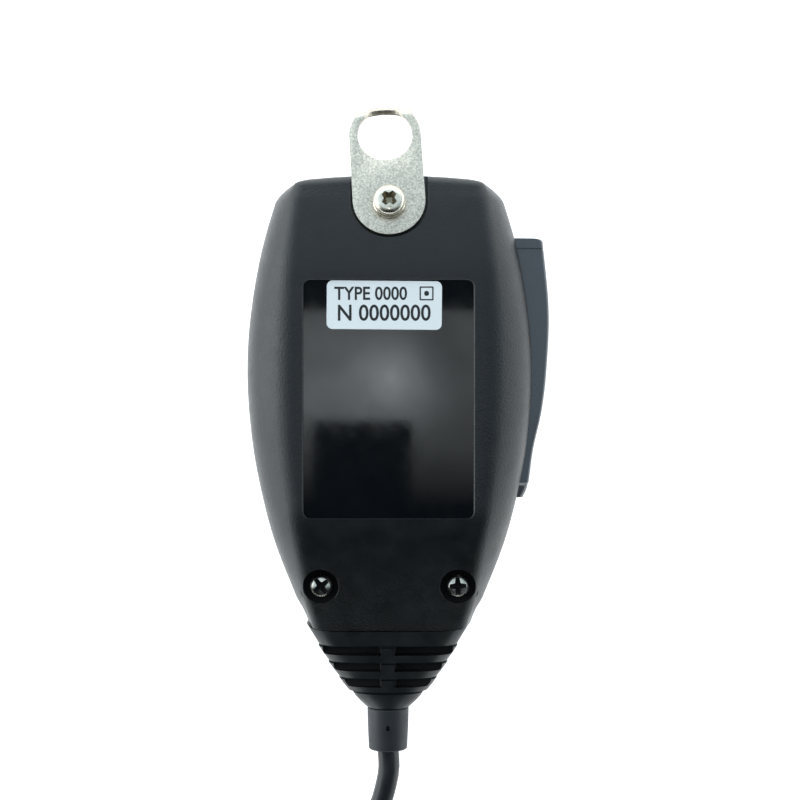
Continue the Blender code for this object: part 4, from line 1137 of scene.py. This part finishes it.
def cord_line():
    """The whole free cord: straight lead, curl and straight lead on one line."""
    curl = curl_points()
    points = through(LEAD_ROUTE, 2.0) + curl[2:-2] + through(END_ROUTE, 2.0)
    thinned = [points[0]]
    for point in points[1:-1]:
        if (point - thinned[-1]).length > CORD_SPACING:
            thinned.append(point)
    thinned.append(points[-1])
    line = bpy.data.curves.new("free_cord", 'CURVE')
    line.dimensions = '3D'
    line.bevel_depth = CORD_RADIUS * MM
    line.bevel_resolution = 4
    line.use_fill_caps = True
    spline = line.splines.new('POLY')
    spline.points.add(len(thinned) - 1)
    for target, point in zip(spline.points, thinned):
        target.co = (*(point * MM + SHIFT), 1.0)
    line.materials.append(SURFACES["cord"])
    cord = new_object("free_cord", line)
    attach(cord, "case")
    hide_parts("cord_lead", "cord_curl", "cord_end")
    return cord, running_lengths(thinned)[-1] * MM


def plug():
    """The round plug, with a knurled coupling ring that turns on its shell."""
    x, y, z = PLUG_START
    turn = ALONG_CORD
    ridges = [(0, 0), (3.2, 0), (3.5, 0.4)]
    for i in range(PLUG_BOOT_RIDGES):
        start = 1.4 + i * 2.3
        radius = 3.6 + i * 0.27
        ridges += [(radius, start), (radius + 0.1, start + 1.3), (radius - 0.45, start + 1.5),
                   (radius - 0.45, start + 2.0)]
    ridges += [(4.9, 13.2), (5.3, 13.8), (5.4, 14.4), (5.4, 15.8), (5.2, PLUG_BOOT_LENGTH),
               (0, PLUG_BOOT_LENGTH)]
    boot = form("plug_relief", turned(ridges, 64), (x, y, z), turn)
    finish_piece(boot, ["boot"], "plug_boot")
    start = y - PLUG_BOOT_LENGTH - GAP
    place = (x, start, z)
    profile = [(6.0, 0), (6.4, 0.15), (7.4, 1.0), (7.6, 1.6), (7.6, 7.0), (7.35, 7.3),
               (7.35, 7.9), (7.6, 8.2), (7.6, 23.7), (7.3, 24.0), (6.9, 24.0), (6.6, 23.7),
               (6.6, 16.0), (2.0, 16.0), (2.0, 2.0), (2.0, 0)]
    body = form("plug_barrel", turned(profile, 72, ring=True), place, turn)
    finish_piece(body, ["chrome"], "plug_shell")
    disc = [(0, 22.9), (6.0, 22.9), (6.2, 22.7), (6.2, 16.3), (0, 16.3)]
    insert = form("contact_insert", turned(disc, 64), place, turn)
    spots = [(0.0, 0.0)]
    for i in range(OUTER_CONTACTS):
        angle = math.tau * i / OUTER_CONTACTS
        spots.append((CONTACT_CIRCLE * math.cos(angle), CONTACT_CIRCLE * math.sin(angle)))
    cut(insert, [rod(0.75, 20.0, 26.0, spot, 20) for spot in spots], place, turn)
    finish_piece(insert, ["insert"], "plug_insert")
    socket = [(0.6, 20.3), (0.6, 22.5), (0.35, 22.5), (0.35, 20.3)]
    for number, spot in enumerate(spots, 1):
        contact = form(f"contact_{number}", turned(socket, 20, ring=True), place, turn)
        contact.data.transform(Matrix.Translation((*spot, 0)))
        finish_piece(contact, ["pin"])

    def knurl(radius, height, angle):
        deep = radius > 8.9 and abs(height) < 5.0
        return -KNURL_DEPTH * abs(math.sin(angle * KNURL_RIDGES / 2)) if deep else 0.0

    ring = [(8.6, -6.0), (9.0, -5.7), (9.0, -5.1), (9.3, -4.9), (9.3, 4.9), (9.0, 5.1),
            (9.0, 5.7), (8.6, 6.0), (8.0, 6.0), (7.9, 5.8), (7.9, -5.8), (8.0, -6.0)]
    nut = form("coupling_ring", turned(ring, 240, ring=True, ripple=knurl),
               (x, start - RING_MIDDLE, z), turn)
    finish_piece(nut, ["chrome"], "plug_ring", "plug_ring", 30)


# ---- what stays from the design

def dress_inner_nodes():
    """Better materials for the design's own parts inside the case."""
    inner = {
        "brass": ["hanger_insert"], "chip": ["controller_ic", "ptt_switch"],
        "capacitor": ["capacitor"], "socket": ["wire_socket"], "led": ["status_led"],
        "capsule": ["mic_capsule"], "cloth": ["dust_screen"], "plunger": ["ptt_plunger"],
        "mat": ["keypad_mat"], "board": ["circuit_board"], "boot": ["capsule_holder"],
        "cord": ["cord_tail"],
        "steel": ["cord_clamp", "clamp_screw_left", "clamp_screw_right", "crystal",
                  "board_screw_1", "board_screw_2", "board_screw_3", "board_screw_4"],
    }
    for surface, names in inner.items():
        for name in names:
            dress(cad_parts[name], [surface])


# ---- stage

def camera():
    """The camera looks straight down."""
    lens = bpy.data.cameras.new("camera")
    lens.lens = CAMERA_LENS
    lens.sensor_width = SENSOR
    lens.clip_start = 0.01
    eye = new_object("camera", lens)
    eye.location = SHIFT + Vector((CAMERA_X, 0, CAMERA_HEIGHT)) * MM
    bpy.context.scene.camera = eye


def floor():
    """A broad white sheet, with light coming through it from behind."""
    material, tree, shader = new_surface("floor_paper", 0.7)
    paper = blend_colour(tree, noise(tree, 30), (0.80, 0.80, 0.80), (0.83, 0.83, 0.82))
    set_inputs(tree, shader, {"Base Color": paper, "Emission Color": (1.0, 1.0, 0.99, 1.0),
                              "Emission Strength": FLOOR_GLOW})
    sheet = form("floor", block((FLOOR_SIDE, FLOOR_SIDE), -1.0, 0.0))
    sheet.data.transform(Matrix.Scale(MM, 4))
    sheet.data.materials.append(material)


def sky():
    """Light from all round: bright low down, darker straight overhead, dark on the -Y side."""
    world = bpy.data.worlds.new("studio")
    bpy.context.scene.world = world
    world.use_nodes = True
    tree = world.node_tree
    direction = add_node(tree, "TexCoord").outputs["Generated"]
    x, y, z = add_node(tree, "SeparateXYZ", {"Vector": direction}).outputs

    def soft_step(socket, start, end):
        return ramp(tree, socket, start, end, kind='SMOOTHSTEP')

    shade = maths(tree, 'MULTIPLY', soft_step(z, 0.05, 0.32), soft_step(y, *SKY_NEAR))
    zenith = soft_step(z, *SKY_HOLE)
    rise = soft_step(z, 0.0, 0.65)
    level = ramp(tree, x, -1.0, 1.0, *SKY_SIDES)
    for share, low, high in ((rise, SKY_LOW, SKY_HIGH), (shade, 1.0, SKY_DARK),
                             (zenith, 1.0, SKY_ZENITH)):
        level = maths(tree, 'MULTIPLY', level, ramp(tree, share, 0.0, 1.0, low, high))
    tint = blend_colour(tree, rise, (0.90, 1.0, 1.02), (0.80, 1.0, 1.14))
    set_inputs(tree, tree.nodes["Background"], {"Color": tint, "Strength": level})


def key_light():
    """A broad soft light from the left, aimed at the middle of the case."""
    lamp = bpy.data.lights.new("key_light", 'AREA')
    lamp.size = KEY_LIGHT_SIZE
    lamp.energy = KEY_LIGHT_POWER
    thing = new_object("key_light", lamp)
    thing.location = SHIFT + Vector(KEY_LIGHT_PLACE) * MM
    thing.rotation_euler = (-Vector(KEY_LIGHT_PLACE)).to_track_quat('-Z', 'Y').to_euler()


def ceiling():
    """A lamp panel overhead that only shows as a reflection, with a dark shape in front of it."""
    material = bpy.data.materials.new("ceiling_glow")
    material.use_nodes = True
    tree = material.node_tree
    tree.nodes.clear()
    inside = add_node(tree, "TexCoord").outputs["Object"]

    def glow(centre, reach, dim, bright):
        """Bright at the centre and dim at the reach, in millimetres of the drawing frame."""
        place = SHIFT + Vector((*centre, CEILING_HEIGHT)) * MM
        moved = add_node(tree, "Mapping", {"Vector": inside, "Location": -place / (reach * MM),
                                           "Scale": (1000 / reach,) * 3})
        spot = add_node(tree, "TexGradient", {"Vector": moved.outputs["Vector"]},
                        gradient_type='QUADRATIC_SPHERE')
        return ramp(tree, spot.outputs["Fac"], 0.0, 1.0, dim, bright)

    y = add_node(tree, "SeparateXYZ", {"Vector": inside}).outputs["Y"]
    fade = ramp(tree, y, SHIFT.y - 0.046, SHIFT.y - 0.006, 0.05, 1.0)
    smudge = ramp(tree, noise(tree, 55), 0.35, 0.65, 0.86, 1.14)
    level = maths(tree, 'ADD', glow((-2, 9), 34, 0.95, 4.2), glow((-34, 8), 70, 0.35, 1.6))
    level = maths(tree, 'MULTIPLY', maths(tree, 'MULTIPLY', level, fade), smudge)
    light = add_node(tree, "Emission", {"Strength": level, "Color": (0.93, 1.0, 1.03, 1.0)})
    add_node(tree, "OutputMaterial", {"Surface": light.outputs["Emission"]})
    for number, (left, right, near, far) in enumerate(CEILING_SHEETS, 1):
        outline = block((right - left, far - near), CEILING_HEIGHT, CEILING_HEIGHT + 0.5,
                        ((left + right) / 2, (near + far) / 2))
        sheet = form(f"ceiling_{number}", outline)
        sheet.data.transform(Matrix.Translation(SHIFT) @ Matrix.Scale(MM, 4))
        sheet.data.materials.append(material)
        for ray in ("camera", "diffuse", "shadow", "transmission"):
            setattr(sheet, "visible_" + ray, False)


def main():
    """Draw everything, the camera and the cord first."""
    bpy.context.scene.view_settings.view_transform = 'Standard'
    camera()
    cord, cord_length = cord_line()
    plug()
    for build in (rear_case, front_case, label, hanger_plate, hanger_fixing, case_screws, lever,
                  keys, cord_boot, cord_sleeve, dress_inner_nodes, floor, sky, ceiling, key_light):
        build()


main()
